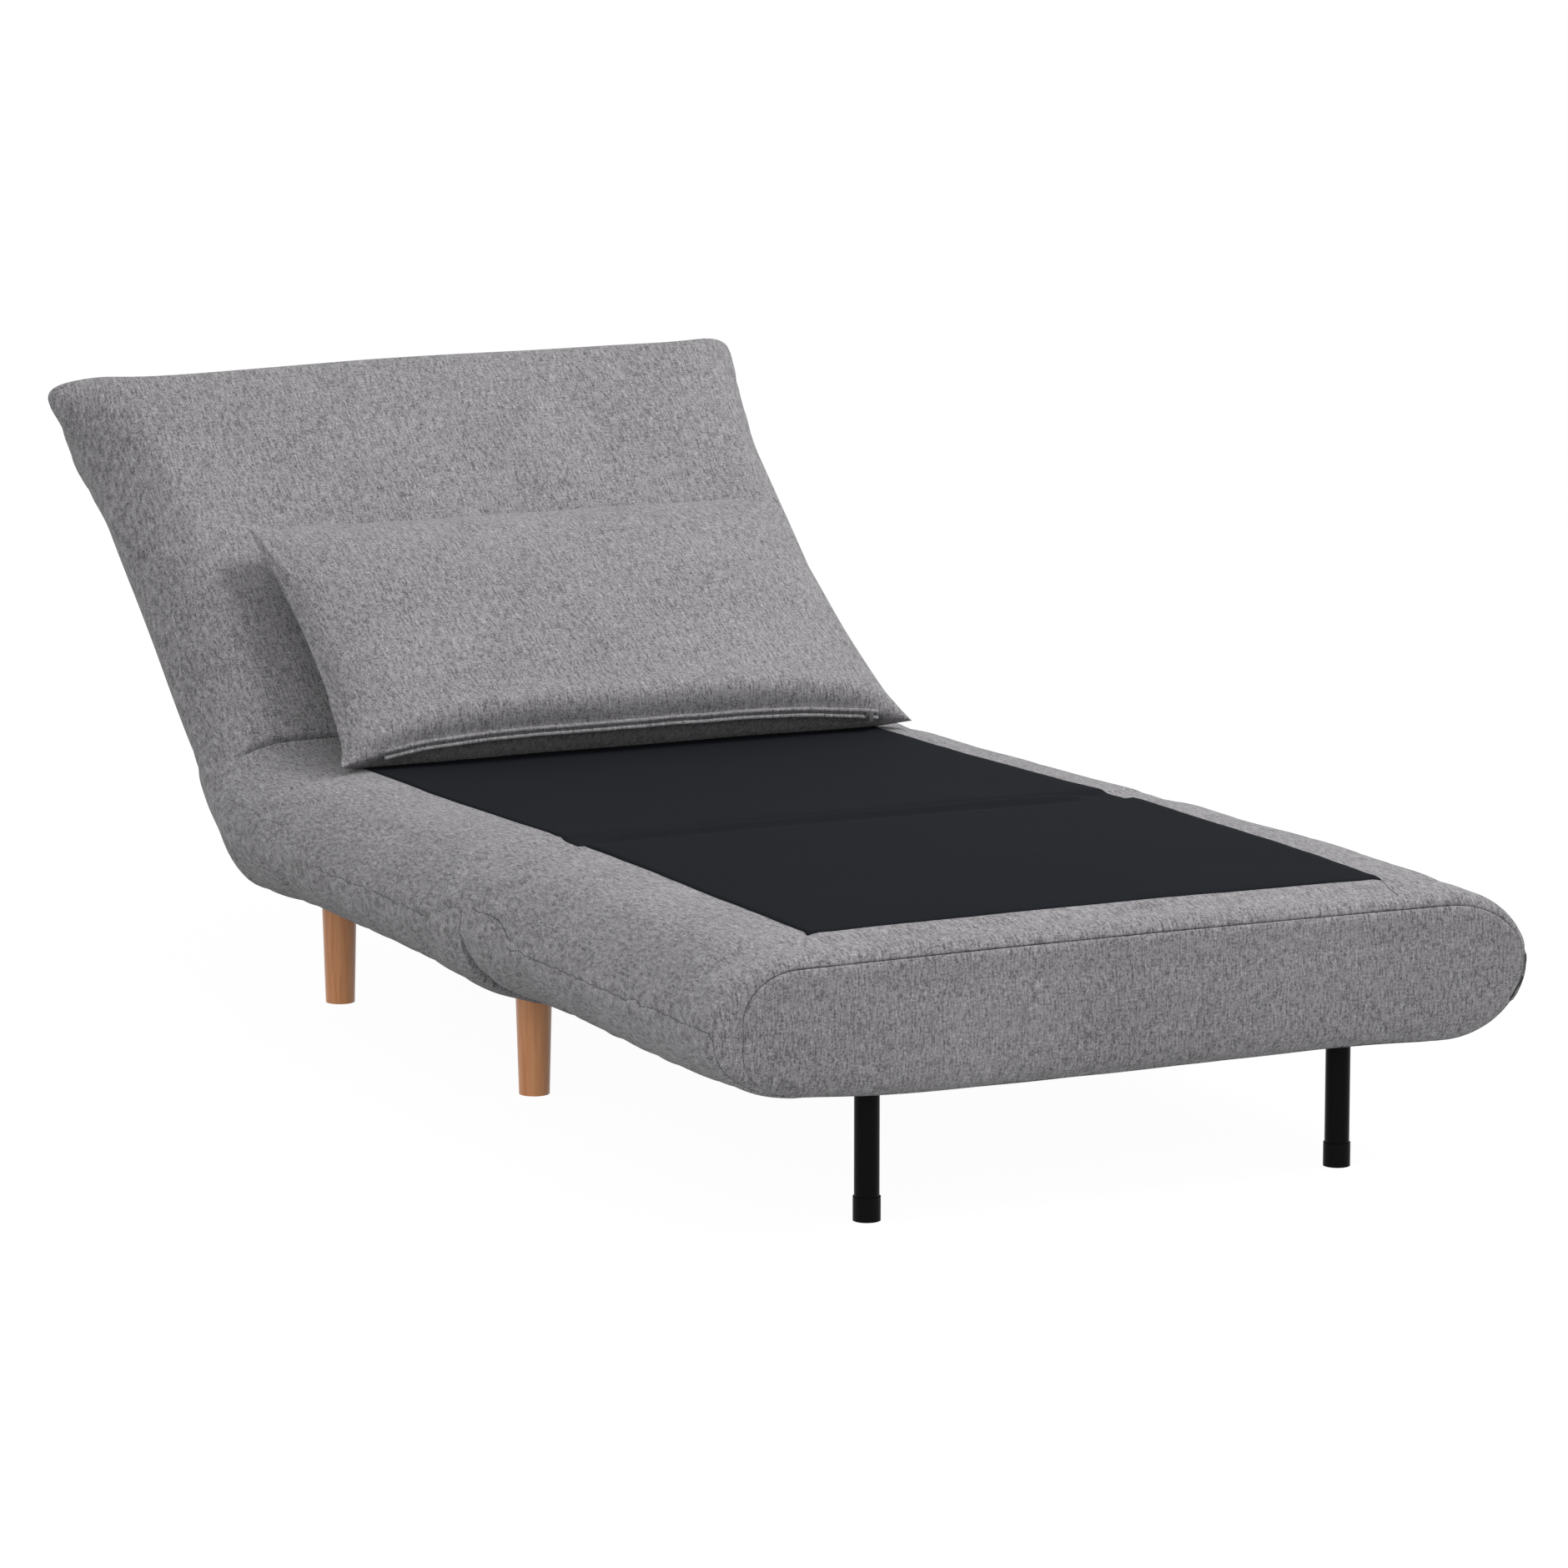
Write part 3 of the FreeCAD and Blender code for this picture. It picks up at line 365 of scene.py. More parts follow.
def outward_of(ring):
    """Unit X and Z directions that point out of a ring."""
    along = np.roll(ring, -1, axis=0) - np.roll(ring, 1, axis=0)
    out = np.column_stack([along[:, 2] * -1, along[:, 0]])
    return out / np.linalg.norm(out, axis=1, keepdims=True)


def padded_mesh(name, rings):
    """Skin a run of rings and sew each end shut along its middle line."""
    faces, middle = between_rings(len(rings), RING), RING // 2
    for start in (0, (len(rings) - 1) * RING):
        for step in range(RING // 4):
            for way in (1, -1):
                corners = dict.fromkeys(start + way * place % RING
                                        for place in (step, step + 1, middle - step - 1, middle - step))
                if len(corners) > 2:
                    faces.append(tuple(corners))
    return piece_from(name, np.concatenate(rings), faces, GREY)


def narrowing(ring, shares=(0.8, 0.6, 0.4, 0.2, 0.05), puff=0.0):
    """Rings that close in from a ring to its middle line."""
    (x, y, z), flat = ring.T, ring[FLAT_STEPS // 2, 0]
    middle = (z.max() + z.min()) / 2
    inside, beyond = np.minimum(np.abs(x), flat), np.clip(np.abs(x) - flat, 0, None)
    return [np.column_stack([np.sign(x) * (inside + beyond * share), y + puff * (1 - share ** 2),
                             middle + (z - middle) * share]) for share in shares]


class RolledEnd:
    """The end of a section: it rolls over by a radius that differs on the top, sides and bottom."""

    def __init__(self, ring, y, way, roll, seam_angle, shift=0.0, seam_in=(0, 0, 0)):
        self.ring, self.y, self.way = ring, y, way
        self.out = outward_of(ring)
        self.radius = self.around(roll)
        seam_in = self.around(seam_in) + shift * np.sign(-self.out[:, 0]) * self.out[:, 0] ** 2
        self.to_seam = np.radians(self.around(seam_angle)) * self.radius + np.maximum(seam_in, 0)

    def around(self, values):
        """Spread a value for the top, sides and bottom round the ring."""
        top, side, bottom = values
        lift = self.out[:, 1]
        return side + np.where(lift > 0, top - side, bottom - side) * lift ** 2

    def ring_at(self, angle, sunk=0.0, face_in=0.0):
        """A ring at an angle of the roll, sunk below the surface, or on the face inside the roll."""
        inset = self.radius * (1 - np.cos(angle)) + sunk * np.cos(angle) + face_in
        depth = self.radius * (1 - np.sin(angle)) + sunk * np.sin(angle)
        (x, _, z), (out_x, out_z) = self.ring.T, self.out.T
        return np.column_stack([x - out_x * inset, self.y - self.way * depth, z - out_z * inset])

    def on_roll(self, run, sunk=0.0):
        """A ring a run along the surface past the seam, first round the roll and then over the face."""
        reach = self.to_seam + run
        angle = np.minimum(reach / self.radius, pi / 2)
        return self.ring_at(angle, sunk, np.maximum(reach - self.radius * pi / 2, 0))

    def cover(self):
        """From the body of the section to the seam and down into its pocket."""
        rings = [self.on_roll(-self.to_seam * (1 - share)) for share in (0, 0.2, 0.4, 0.6, 0.78)]
        rings += [self.on_roll(*mm(*place)) for place in COVER_LIP]
        return rings + narrowing(rings[-1])

    def panel(self, bulge):
        """The panel sewn in at the seam, from its pocket to the middle of its face."""
        rings = [self.on_roll(*mm(*place)) for place in PANEL_LIP + ((11,), (17,), (24,), (31,))]
        for ring in rings[6:]:
            ring[:, 1] += self.way * bulge * 0.15
        face = narrowing(rings[-1], (0.86, 0.72, 0.58, 0.44, 0.3, 0.16, 0.04), puff=self.way * bulge)
        return narrowing(rings[0])[::-1] + rings + face


def hold(piece, held, pressure=4.0, travel=5 * MM, slack=0.012):
    """Blow the cover up over its padding as cloth, held at its seams, and keep what it becomes."""
    group = piece.vertex_groups.new(name="held")
    group.add([int(i) for i in np.flatnonzero(held)], 1.0, "REPLACE")
    swell = piece.modifiers.new("swell", "CLOTH")
    cloth = swell.settings
    cloth.quality = 4
    cloth.use_pressure = True
    cloth.uniform_pressure_force = pressure
    cloth.vertex_group_mass = "held"
    cloth.shrink_min = -slack
    cloth.bending_stiffness = 1.5
    cloth.effector_weights.gravity = 0
    swell.collision_settings.use_self_collision = False
    swell.point_cache.frame_start, swell.point_cache.frame_end = 1, SWELL_FRAMES
    rest = places_of(piece)
    for frame_number in range(1, SWELL_FRAMES + 1):
        bpy.context.scene.frame_set(frame_number)
    graph = bpy.context.evaluated_depsgraph_get()
    swollen = places_of(piece.evaluated_get(graph))
    piece.modifiers.clear()
    piece.vertex_groups.clear()
    bpy.context.scene.frame_set(1)
    travelled = swollen - rest
    length = np.maximum(np.linalg.norm(travelled, axis=1, keepdims=True), 1e-9)
    move_to(piece, rest + travelled * np.minimum(1, travel / length))


def stuffed(name, before, body, after, free, under, middle, settle, travel):
    """A padded cover: filled as cloth where it is free, held low down and round its sides, and settled."""
    cover = padded_mesh(name, before + body + after)
    rows = np.arange(len(before) + len(body) + len(after)).repeat(RING)
    height = places_of(cover)[:, 2]
    held = (rows < len(before) + free[0]) | (rows > len(before) + len(body) - free[1])
    hold(cover, held | (height < under) | (np.abs(height - middle) < 2 * MM), travel=travel)
    finer(cover)
    move_to(cover, settle(places_of(cover)))
    return cover


def uneven(piece, depth, size, seed):
    """Small unevenness of stuffed padding."""
    shift = Vector((seed, 0, 0))
    push_out(piece, lambda points: depth * np.array([noise.noise(Vector(p) * size + shift) for p in points]))


def press_seams(piece, paths):
    """Draw the cover down along its seams, with a faint puff on either side."""
    depth, width = mm(1.9, 3.2)
    line = np.concatenate(paths)
    tree = KDTree(len(line))
    for index, point in enumerate(line):
        tree.insert(Vector(point), index)
    tree.balance()

    def rise(points):
        away = np.array([tree.find(Vector(p))[2] for p in points])
        puff = 0.3 * depth * np.exp(-((away - 4 * width) / (2 * width)) ** 2)
        return puff - depth * np.exp(-(away / width) ** 2)

    push_out(piece, rise)


def circle(sides):
    return 2 * pi * np.arange(sides) / sides


def tube(name, path, radius, material, sides):
    """A thin round cord along a path, with closed ends, also used for the painted seam shadow lines."""
    along = np.gradient(path, axis=0)
    along /= np.linalg.norm(along, axis=1, keepdims=True)
    side = np.cross(along[0], (0.3, 0.2, 1))
    turn, rings = circle(sides), []
    for place, forward in zip(path, along):
        side = side - forward * np.dot(side, forward)
        side /= np.linalg.norm(side)
        up = np.cross(forward, side)
        rings.append(place + radius * (np.outer(np.cos(turn), side) + np.outer(np.sin(turn), up)))
    return closed_run(name, rings, material)


def joined(name, parts):
    """Several small pieces of one material made one."""
    points, faces, base = [], [], 0
    for part in parts:
        found = places_of(part)
        points.append(found)
        faces += [tuple(base + i for i in f.vertices) for f in part.data.polygons]
        base += len(found)
        material = part.data.materials[0]
        bpy.data.objects.remove(part)
    return piece_from(name, np.concatenate(points), faces, material)


def spread_along(path, step):
    """The path again, with its points an even step apart."""
    path = np.asarray(path, float)
    run = np.concatenate([[0], np.cumsum(np.linalg.norm(np.diff(path, axis=0), axis=1))])
    places = np.linspace(0, run[-1], max(2, int(run[-1] / step)))
    return np.column_stack([np.interp(places, run, path[:, k]) for k in range(3)])


def on_surface(tree, path, sunk=0.0):
    """The nearest places on a surface to the points of a path."""
    found = [tree.find_nearest(Vector(point)) for point in path]
    return np.array([place - normal * sunk for place, normal, _, _ in found])


# Small repeated pieces, made by geometry nodes

def repeat_tree(name, along):
    """Small rounded pieces: an even pitch apart along the edges of a path, or one on each point."""
    tree = bpy.data.node_groups.new(name, "GeometryNodeTree")
    for title, way, kind in (("Path", "INPUT", "Geometry"), ("Pitch", "INPUT", "Float"),
                             ("Size", "INPUT", "Vector"), ("Finish", "INPUT", "Material"),
                             ("Pieces", "OUTPUT", "Geometry")):
        tree.interface.new_socket(title, in_out=way, socket_type="NodeSocket" + kind)
    given, made, bead, placed, smooth, real, finish = (tree.nodes.new(kind) for kind in (
        "NodeGroupInput", "NodeGroupOutput", "GeometryNodeMeshUVSphere", "GeometryNodeInstanceOnPoints",
        "GeometryNodeSetShadeSmooth", "GeometryNodeRealizeInstances", "GeometryNodeSetMaterial"))
    bead.inputs["Segments"].default_value, bead.inputs["Rings"].default_value = 8, 5
    links = [(bead, "Mesh", placed, "Instance"), (given, "Size", placed, "Scale"),
             (given, "Finish", finish, "Material"), (placed, 0, smooth, 0), (smooth, 0, real, 0),
             (real, 0, finish, 0), (finish, 0, made, 0)]
    if along:
        line, spaced = tree.nodes.new("GeometryNodeMeshToCurve"), tree.nodes.new("GeometryNodeCurveToPoints")
        spaced.mode = "LENGTH"
        links += [(given, "Path", line, "Mesh"), (line, "Curve", spaced, "Curve"),
                  (given, "Pitch", spaced, "Length"), (spaced, "Points", placed, "Points"),
                  (spaced, "Rotation", placed, "Rotation")]
    else:
        links.append((given, "Path", placed, "Points"))
    for start, out, end, into in links:
        tree.links.new(start.outputs[out], end.inputs[into])
    return tree


ALONG_PATH, AT_POINTS = repeat_tree("pieces_along_a_path", True), repeat_tree("pieces_at_points", False)


def repeated(name, runs, size, finish, pitch=None):
    """Beads of a size along open paths at a pitch, or on single points where no pitch is given."""
    points = np.concatenate(runs)
    edges, base = [], 0
    for run in runs:
        edges += [(base + i, base + i + 1) for i in range(len(run) - 1)] if pitch else []
        base += len(run)
    mesh = bpy.data.meshes.new(name)
    mesh.from_pydata([tuple(p) for p in points], edges, [])
    made, tree = shown(name, mesh), ALONG_PATH if pitch else AT_POINTS
    grow = made.modifiers.new("repeat", "NODES")
    grow.node_group = tree
    values = {"Pitch": pitch or 1.0, "Size": size, "Finish": finish}
    for socket in tree.interface.items_tree:
        if socket.in_out == "INPUT" and socket.name in values:
            grow[socket.identifier] = values[socket.name]
    return bake(made)


# Extension section

def press(points, place, reach, shift):
    """Move what is near a place by millimetres, most in its middle, as soft padding gives."""
    away = np.linalg.norm((points - place) / reach, axis=1)
    return points + np.outer(np.exp(-away ** 2), mm(*shift))


def extension_ring(y):
    """The extension's section at a place along the bed: it sags a little to the front."""
    run, share = y - front_y, (y - front_y) / (fold.y - front_y)
    puff = sin(pi * np.clip(share, 0, 1))
    sag = NOSE_SAG * (1 - share)
    nose = 1 * MM * (1 - ease(run / 0.1))
    wide = 5 * MM * (1 - ease(run / 0.2))
    side = NOSE_REACH + (SIDE_REACH - NOSE_REACH) * ease(run / 0.55)
    return section_ring(y, bed_half - WAIST * puff + wide, low_z - sag * 0.8, top_z - sag - nose, side,
                        1 * MM + CROWN * puff, 2 * MM + CROWN * puff)


def settle_extension(points):
    """Soft corners of the foot end, and a fuller right shoulder."""
    points = press(points, (0.41, front_y + 0.31, top_z - 10 * MM), (0.10, 0.15, 0.05), (3, 0, 3))
    for side, lift in ((-1, 8), (1, -7)):
        points = press(points, (side * 0.40, front_y + 20 * MM, low_z), (0.10, 0.09, 0.05), (4, 0, lift))
        points = press(points, (side * 0.40, fold.y, low_z), (0.12, 0.07, 0.06), (0, 0, -6))
    return points


def leg_recess(points):
    """Push the underside up to make room for the folded leg frame."""
    bar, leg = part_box("leg_crossbar"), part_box("steel_leg_right")
    bar_y, leg_x = (bar[0].y + bar[1].y) / 2, (leg[0].x + leg[1].x) / 2
    room, edge, channel_length = mm(22, 8, 158)
    x, y, z = np.abs(points[:, 0]), points[:, 1], points[:, 2]
    trench = within(x, -1, bar[1].x + room, edge) * within(y, bar_y - room, bar_y + room, edge)
    channel = within(x, leg_x - room, leg_x + room, edge) * within(y, bar_y, bar_y + channel_length, edge)
    rise = np.maximum(trench * (188 * MM - z), channel * (165 * MM - z))
    points[:, 2] += np.where((z < section_mid - 50 * MM) & (x < 0.34), np.maximum(rise, 0), 0)
    return points


def fold_end(ring, way, y):
    """The end of a section at the fold: soft on top, nearly square at the sides."""
    end = RolledEnd(ring, y, way, mm(7, 4, 8), (90, 90, 90))
    rings = [end.ring_at(radians(angle)) for angle in (0, 25, 50, 75)]
    rings.append(end.ring_at(pi / 2, face_in=1 * MM))
    return rings + narrowing(end.ring_at(pi / 2, face_in=8 * MM), (1, 0.8, 0.6, 0.4, 0.2, 0.05))


def end_piece(name, end, bulge, settle):
    """The panel of a rolled end, settled like the cover around it."""
    panel = finer(padded_mesh(name, end.panel(bulge)))
    move_to(panel, settle(places_of(panel)))
    return panel


def extension_pieces():
    """The cover, the panel in its foot end, and the rolled end of both."""
    start = front_y + NOSE_DEPTH
    end = RolledEnd(extension_ring(start), front_y, -1, mm(22, 9, 30), (66, 62, 24), 14 * MM, mm(0, 14, 0))
    body = [extension_ring(y) for y in np.linspace(start, fold.y - FOLD_GAP - FOLD_DEPTH, 66)]
    cover = stuffed("extension_upholstery", end.cover()[::-1], body, fold_end(body[-1], 1, fold.y - FOLD_GAP),
                    (1, 3), low_z + 6 * MM, section_mid, lambda points: leg_recess(settle_extension(points)),
                    travel=5 * MM)
    return cover, end_piece("extension_end_panel", end, 2.2 * MM, settle_extension), end


extension, end_panel, foot_end = extension_pieces()


# Seat section

def seat_ring(y):
    """The seat's section: it dips towards the back and its heel rises to the backrest."""
    rear = pivot.y - SEAT_HEEL_ROUND
    share = np.clip((y - fold.y) / (rear - fold.y), 0, 1)
    sink = sin(pi * share / 2)
    heel = 1 - cos(asin(np.clip((y - rear) / SEAT_HEEL_ROUND, 0, 0.95)))
    bulge = 4 * MM + SEAT_BULGE * (1 - 0.8 * sink)
    return section_ring(y, bed_half - WAIST * sink - 2 * WAIST * heel,
                        low_z - bulge + SEAT_HEEL_RISE * heel, top_z - SEAT_DIP * sink,
                        SIDE_REACH, (1 - share) * MM, 1 * MM)


def settle_elbow(points):
    """The padding is drawn in behind the recline corner and hangs lower in front of it."""
    for side in (-1, 1):
        for x, y, z, reach, shift in (
                (0.43, 60 * MM, pivot.z - 20 * MM, (0.11, 0.08, 0.075), (-side * 3, -4, 0)),
                (0.42, -5 * MM, low_z + 18 * MM, (0.10, 0.06, 0.05), (-side * 11, -12, 0)),
                (0.40, -75 * MM, low_z, (0.14, 0.09, 0.05), (0, 0, -12))):
            points = press(points, (side * x, pivot.y + y, z), reach, shift)
    return points


def hollow_out(points):
    """Keep the seat's rear end clear of the round lower end of the backrest."""
    y, z = points[:, 1] - pivot.y, points[:, 2] - pivot.z
    level, steep = cos(UPRIGHT), sin(UPRIGHT)
    above = (z > 0) & (y * level + z * steep > 0)
    push = np.maximum(HOLLOW_RADIUS - (-y * steep + z * level), 0) / steep
    points[:, 1] -= np.where(above & (y > -HOLLOW_RADIUS * 1.4), push, 0)
    ring = ~above & (np.hypot(y, z) < HOLLOW_RADIUS)
    back = -np.sqrt(np.maximum(HOLLOW_RADIUS ** 2 - z ** 2, 0))
    points[:, 1] = np.where(ring & (y > back), pivot.y + back, points[:, 1])
    return points


def dust_cloth_bed(points):
    """Draw the underside of the seat up to the level of its dust cloth."""
    low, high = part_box("seat_dust_cloth")
    inside = within(np.abs(points[:, 0]), -1, high.x, 9 * MM) * within(points[:, 1], low.y, high.y, 9 * MM)
    under = points[:, 2] < section_mid - 45 * MM
    points[:, 2] += np.where(under, np.maximum(inside * (high.z + 0.6 * MM - points[:, 2]), 0), 0)
    return points


def settle_seat(points):
    """The underside hangs lower at the fold; the rear corners, the hollow and the underside are shaped."""
    for side in (-1, 1):
        points = press(points, (side * 0.40, fold.y + 10 * MM, low_z - 5 * MM), (0.12, 0.09, 0.06),
                       (0, 0, -7))
    return dust_cloth_bed(hollow_out(settle_elbow(points)))


def seat_cover():
    rear = pivot.y - SEAT_HEEL_ROUND
    stations = [*np.linspace(fold.y + FOLD_GAP + FOLD_DEPTH, rear, 64),
                *(rear + SEAT_HEEL_ROUND * sin(radians(angle)) for angle in range(10, 80, 10))]
    body = [seat_ring(y) for y in stations]
    front = fold_end(body[0], -1, fold.y + FOLD_GAP)[::-1]
    return stuffed("seat_upholstery", front, body, narrowing(body[-1]), (2, 10), low_z + 8 * MM, section_mid,
                   settle_seat, travel=4 * MM)


seat = seat_cover()


# Backrest section, made along Y from its pivot and then leaned back

def lean_back(points):
    """From the backrest's own frame into the bed's."""
    x, u, n = np.asarray(points, float).T
    return np.column_stack([x, pivot.y + u * along_y - n * along_z, pivot.z + u * along_z + n * along_y])


def back_ring(u):
    """The backrest's section at a distance from its pivot: its round sides grow squarer to its top."""
    share = np.clip(u / (BACK_LENGTH - 20 * MM), 0, 1)
    puff = sin(pi * min(1, share / 0.92))
    square = ease((u - BACK_LENGTH + 170 * MM) / (150 * MM))
    return section_ring(u, BACK_HALF + 3 * MM * square - 2 * MM * puff, -BACK_RADIUS, BACK_RADIUS,
                        BACK_RADIUS + (BACK_END_REACH - BACK_RADIUS) * square,
                        0.5 * MM + CROWN * puff, 0.5 * MM + CROWN / 2 * puff)


def pull_corners(points):
    """Draw the seam corners at the top of the backrest out into soft ears."""
    for side, pull in ((-1, 36), (1, 7)):
        points = press(points, (side * BACK_HALF, BACK_LENGTH - 14 * MM, 36 * MM), (0.060, 0.033, 0.035),
                       (side * pull, 9, 6))
    return press(points, (-0.36, BACK_LENGTH, 60 * MM), (0.20, 0.07, 0.10), (0, -8, -2))


def settle_back(points):
    """Its drawn corners, and the deep crease across it where it meets the seat."""
    points = pull_corners(points)
    front = smoothstep((points[:, 2] - 35 * MM) / (30 * MM))
    points[:, 2] -= 17 * MM * front * np.exp(-((points[:, 1] - 34 * MM) / (9 * MM)) ** 2)
    return points


def back_pieces():
    """The cover and the panel in its top end."""
    rings = []
    for angle in (66, 56, 46, 37, 28, 19, 10):
        turn = radians(angle)
        drop = BACK_RADIUS * (1 - cos(turn))
        rings.append(section_ring(-BACK_RADIUS * sin(turn), BACK_HALF - drop * 0.8, -BACK_RADIUS + drop,
                                  BACK_RADIUS - drop, BACK_RADIUS - drop * 0.5))
    body = [back_ring(u) for u in np.linspace(0, BACK_LENGTH - 26 * MM, 72)]
    end = RolledEnd(body[-1], BACK_LENGTH, 1, mm(22, 7, 22), (68, 60, 68))
    cover = stuffed("backrest_upholstery", narrowing(rings[0])[::-1] + rings, body, end.cover(),
                    (4, 3), -inf, 0, settle_back, travel=4 * MM)
    return cover, end_piece("backrest_end_panel", end, 2 * MM, pull_corners)


backrest, head_panel = back_pieces()


# Seams

SIDE_SEAM_Z = section_mid + 5 * MM
ARCH = [(67, 215), (40, 227), (7, 235), (-20, 241), (-47, 243), (-70, 241), (-95, 233), (-112, 224)]


def level_run(side, start_y, end_y, z):
    return np.array([(side * (bed_half + 0.02), y, z) for y in np.arange(start_y, end_y, 2 * MM)])


def extension_seams():
    """Side seams that turn down at the foot end, and the seams forward from the black cloth."""
    corner = foot_end.ring_at(np.full(RING, radians(28)))
    ahead, runs = np.linspace(0, 1, 30), []
    for side in (-1, 1):
        runs.append(level_run(side, front_y + 6 * MM, fold.y - 118 * MM, SIDE_SEAM_Z))
        down = [p for p in corner if p[0] * side > 0.30 and low_z + 2 * MM < p[2] < SIDE_SEAM_Z]
        runs.append(np.array(sorted(down, key=lambda p: -p[2])))
        runs.append(np.column_stack([side * (CLOTH_HALF - 11 * MM * ahead),
                                     front_y + CLOTH_BORDER - 57 * MM * ahead, np.full(30, top_z + 0.01)]))
    return runs


def seat_seams():
    """Side seams that fade out towards the recline corner."""
    return [level_run(side, fold.y + 82 * MM, pivot.y - 330 * MM, SIDE_SEAM_Z - 4 * MM) for side in (-1, 1)]


def arch_runs(way):
    """The arched seams of the fold gussets, over the body that lies this way from the fold."""
    return [np.array([(side * (bed_half + 0.01), fold.y + y * MM, z * MM - 2 * MM)
                      for y, z in ARCH if y * way > 5]) for side in (-1, 1)]


def gathers(points):
    """How far the covers are drawn into the crease between the seat and the extension."""
    low = smoothstep((section_mid + 25 * MM - points[:, 2]) / (60 * MM))
    side = smoothstep((np.abs(points[:, 0]) - 0.33) / 0.06)
    near = np.exp(-((points[:, 1] - fold.y) / (26 * MM)) ** 2)
    ripple = np.array([noise.noise(Vector((0, p[1] * 14, p[2] * 55))) for p in points])
    return -side * near * (low * 3 * MM + (0.5 + low) * 3.2 * MM * ripple)


def sew(piece, runs):
    """Press seams into a cover, and give the runs of their painted shadow lines and of the stitches across them.
    """
    tree = surface_of(piece)
    runs = [on_surface(tree, spread_along(run, 2 * MM)) for run in runs]
    press_seams(piece, runs)
    tree = surface_of(piece)
    return [[on_surface(tree, run, sunk) for run in runs] for sunk in mm(0.5, 0.1)]


uneven(extension, 1.2 * MM, 7.0, 3.1)
uneven(seat, 1.2 * MM, 7.0, 8.7)
uneven(backrest, 1.4 * MM, 6.0, 5.2)
push_out(extension, gathers)
push_out(seat, gathers)
seam_shadow_runs, stitches = zip(sew(extension, extension_seams() + arch_runs(-1)),
                        sew(seat, seat_seams() + arch_runs(1)))
# Thin near-black tubes along the seams: painted seam shadow, drawn where the seam grooves fall into shade.
for body, runs in zip(("extension", "seat"), seam_shadow_runs):
    dress(joined(body + "_painted_seam_shadow_tubes", [tube("thread", run, 0.8 * MM, PAINTED_SEAM_SHADOW, 5) for run in runs]), body)
for body, runs in zip(("extension", "seat"), stitches):
    dress(repeated(body + "_seam_stitches", runs, mm(0.45, 0.45, 1.5), STITCH, pitch=4.5 * MM), body)


# Black cloth over the middle of the bed

bed_trees = surface_of(extension), surface_of(seat)


def over_fold(place, way, reach, clear):
    """Where a ray that comes in past a place meets the bed, bridged straight across the fold."""
    found = []
    for tree, y in zip(bed_trees, (min(place[1], fold.y - clear), max(place[1], fold.y + clear))):
        spot = np.array((place[0], y, place[2]))
        hit = tree.ray_cast(Vector(spot - way * reach), Vector(way))[0]
        found.append(spot if hit is None else np.array(hit))
    return found[0] + (found[1] - found[0]) * ease((place[1] - fold.y + clear) / (2 * clear))


def grid_piece(name, rows, material):
    """A sheet from rows of points."""
    wide = len(rows[0])
    faces = [(r * wide + c, r * wide + c - 1, (r - 1) * wide + c - 1, (r - 1) * wide + c)
             for r in range(1, len(rows)) for c in range(1, wide)]
    return piece_from(name, [point for row in rows for point in row], faces, material)


def edge_wander(y, seed):
    """The cloth's cut edge isn't quite straight."""
    slow, quick = noise.noise(Vector((seed, y * 7, 0))), noise.noise(Vector((seed, y * 21, 5)))
    return 2.2 * MM * slow + 1.2 * MM * quick


def cloth_over_bed():
    """The black cloth over both sections, tucked down into the grey cover along its hems."""
    start, finish, tuck, down = front_y + CLOTH_BORDER, pivot.y - 107 * MM, 1.2 * MM, np.array((0, 0, -1))
    along = [start - tuck, *np.linspace(start, fold.y - 30 * MM, 70),
             *np.linspace(fold.y - 27 * MM, fold.y + 27 * MM, 19), *np.linspace(fold.y + 30 * MM, finish, 76)]
    rows = []
    for number, y in enumerate(along):
        half = CLOTH_HALF - 5 * MM * ease((y - fold.y) / 0.1)
        left, right = -half + edge_wander(y, 3), half + edge_wander(y, 9)
        across = [left - tuck, *np.linspace(left, right, 92), right + tuck]
        bridge = 6.6 * MM * exp(-((y - fold.y) / (17 * MM)) ** 2)
        row = []
        for column, x in enumerate(across):
            hem = column in (0, len(across) - 1) or number == 0
            wave = 0.7 * MM * noise.noise(Vector((x * 6, y * 4, 2)))
            lift = (-1.3 * MM if hem else 1.5 * MM + wave) + bridge * ease((0.30 - abs(x)) / 0.05)
            row.append((x, y, over_fold((x, y, top_z), down, 0.2, 14 * MM)[2] + lift))
        rows.append(row)
    return grid_piece("bed_black_cloth", rows, BLACK)


def shoulder_strip(name, side):
    """The grey cover carried over the fold, from under the black cloth down to the arched seam."""
    ring = extension_ring(fold.y)[:(FLAT_STEPS + SIDE_STEPS) // 2]
    fine = spread_along([(side * x, y, z) for x, y, z in ring if x > CLOTH_HALF - 8 * MM], 5 * MM)
    fine = fine[fine[:, 2] > 236 * MM]
    out = np.gradient(fine, axis=0)
    out = np.column_stack([out[:, 2] * -side, np.zeros(len(fine)), out[:, 0] * side])
    out /= np.linalg.norm(out, axis=1, keepdims=True)
    rows, reach = [], 46 * MM
    for step in np.linspace(-reach, reach, 37):
        row = []
        for number, ((x, _, z), away) in enumerate(zip(fine, out)):
            spot = over_fold((x, fold.y + step, z), -away, 0.05, 13 * MM)
            spot[1] = fold.y + step
            border = min(1.0, (reach - abs(step)) / (20 * MM), (len(fine) - 1 - number) / 2.5)
            row.append(spot + away * (1 * MM - 1.6 * MM * (1 - ease(border))))
        rows.append(row)
    return grid_piece(name, rows, GREY)


bed_cloth = cloth_over_bed()
shoulder_strips = [shoulder_strip("fold_strip_left", -1), shoulder_strip("fold_strip_right", 1)]


# Stretch cover round the recline corner

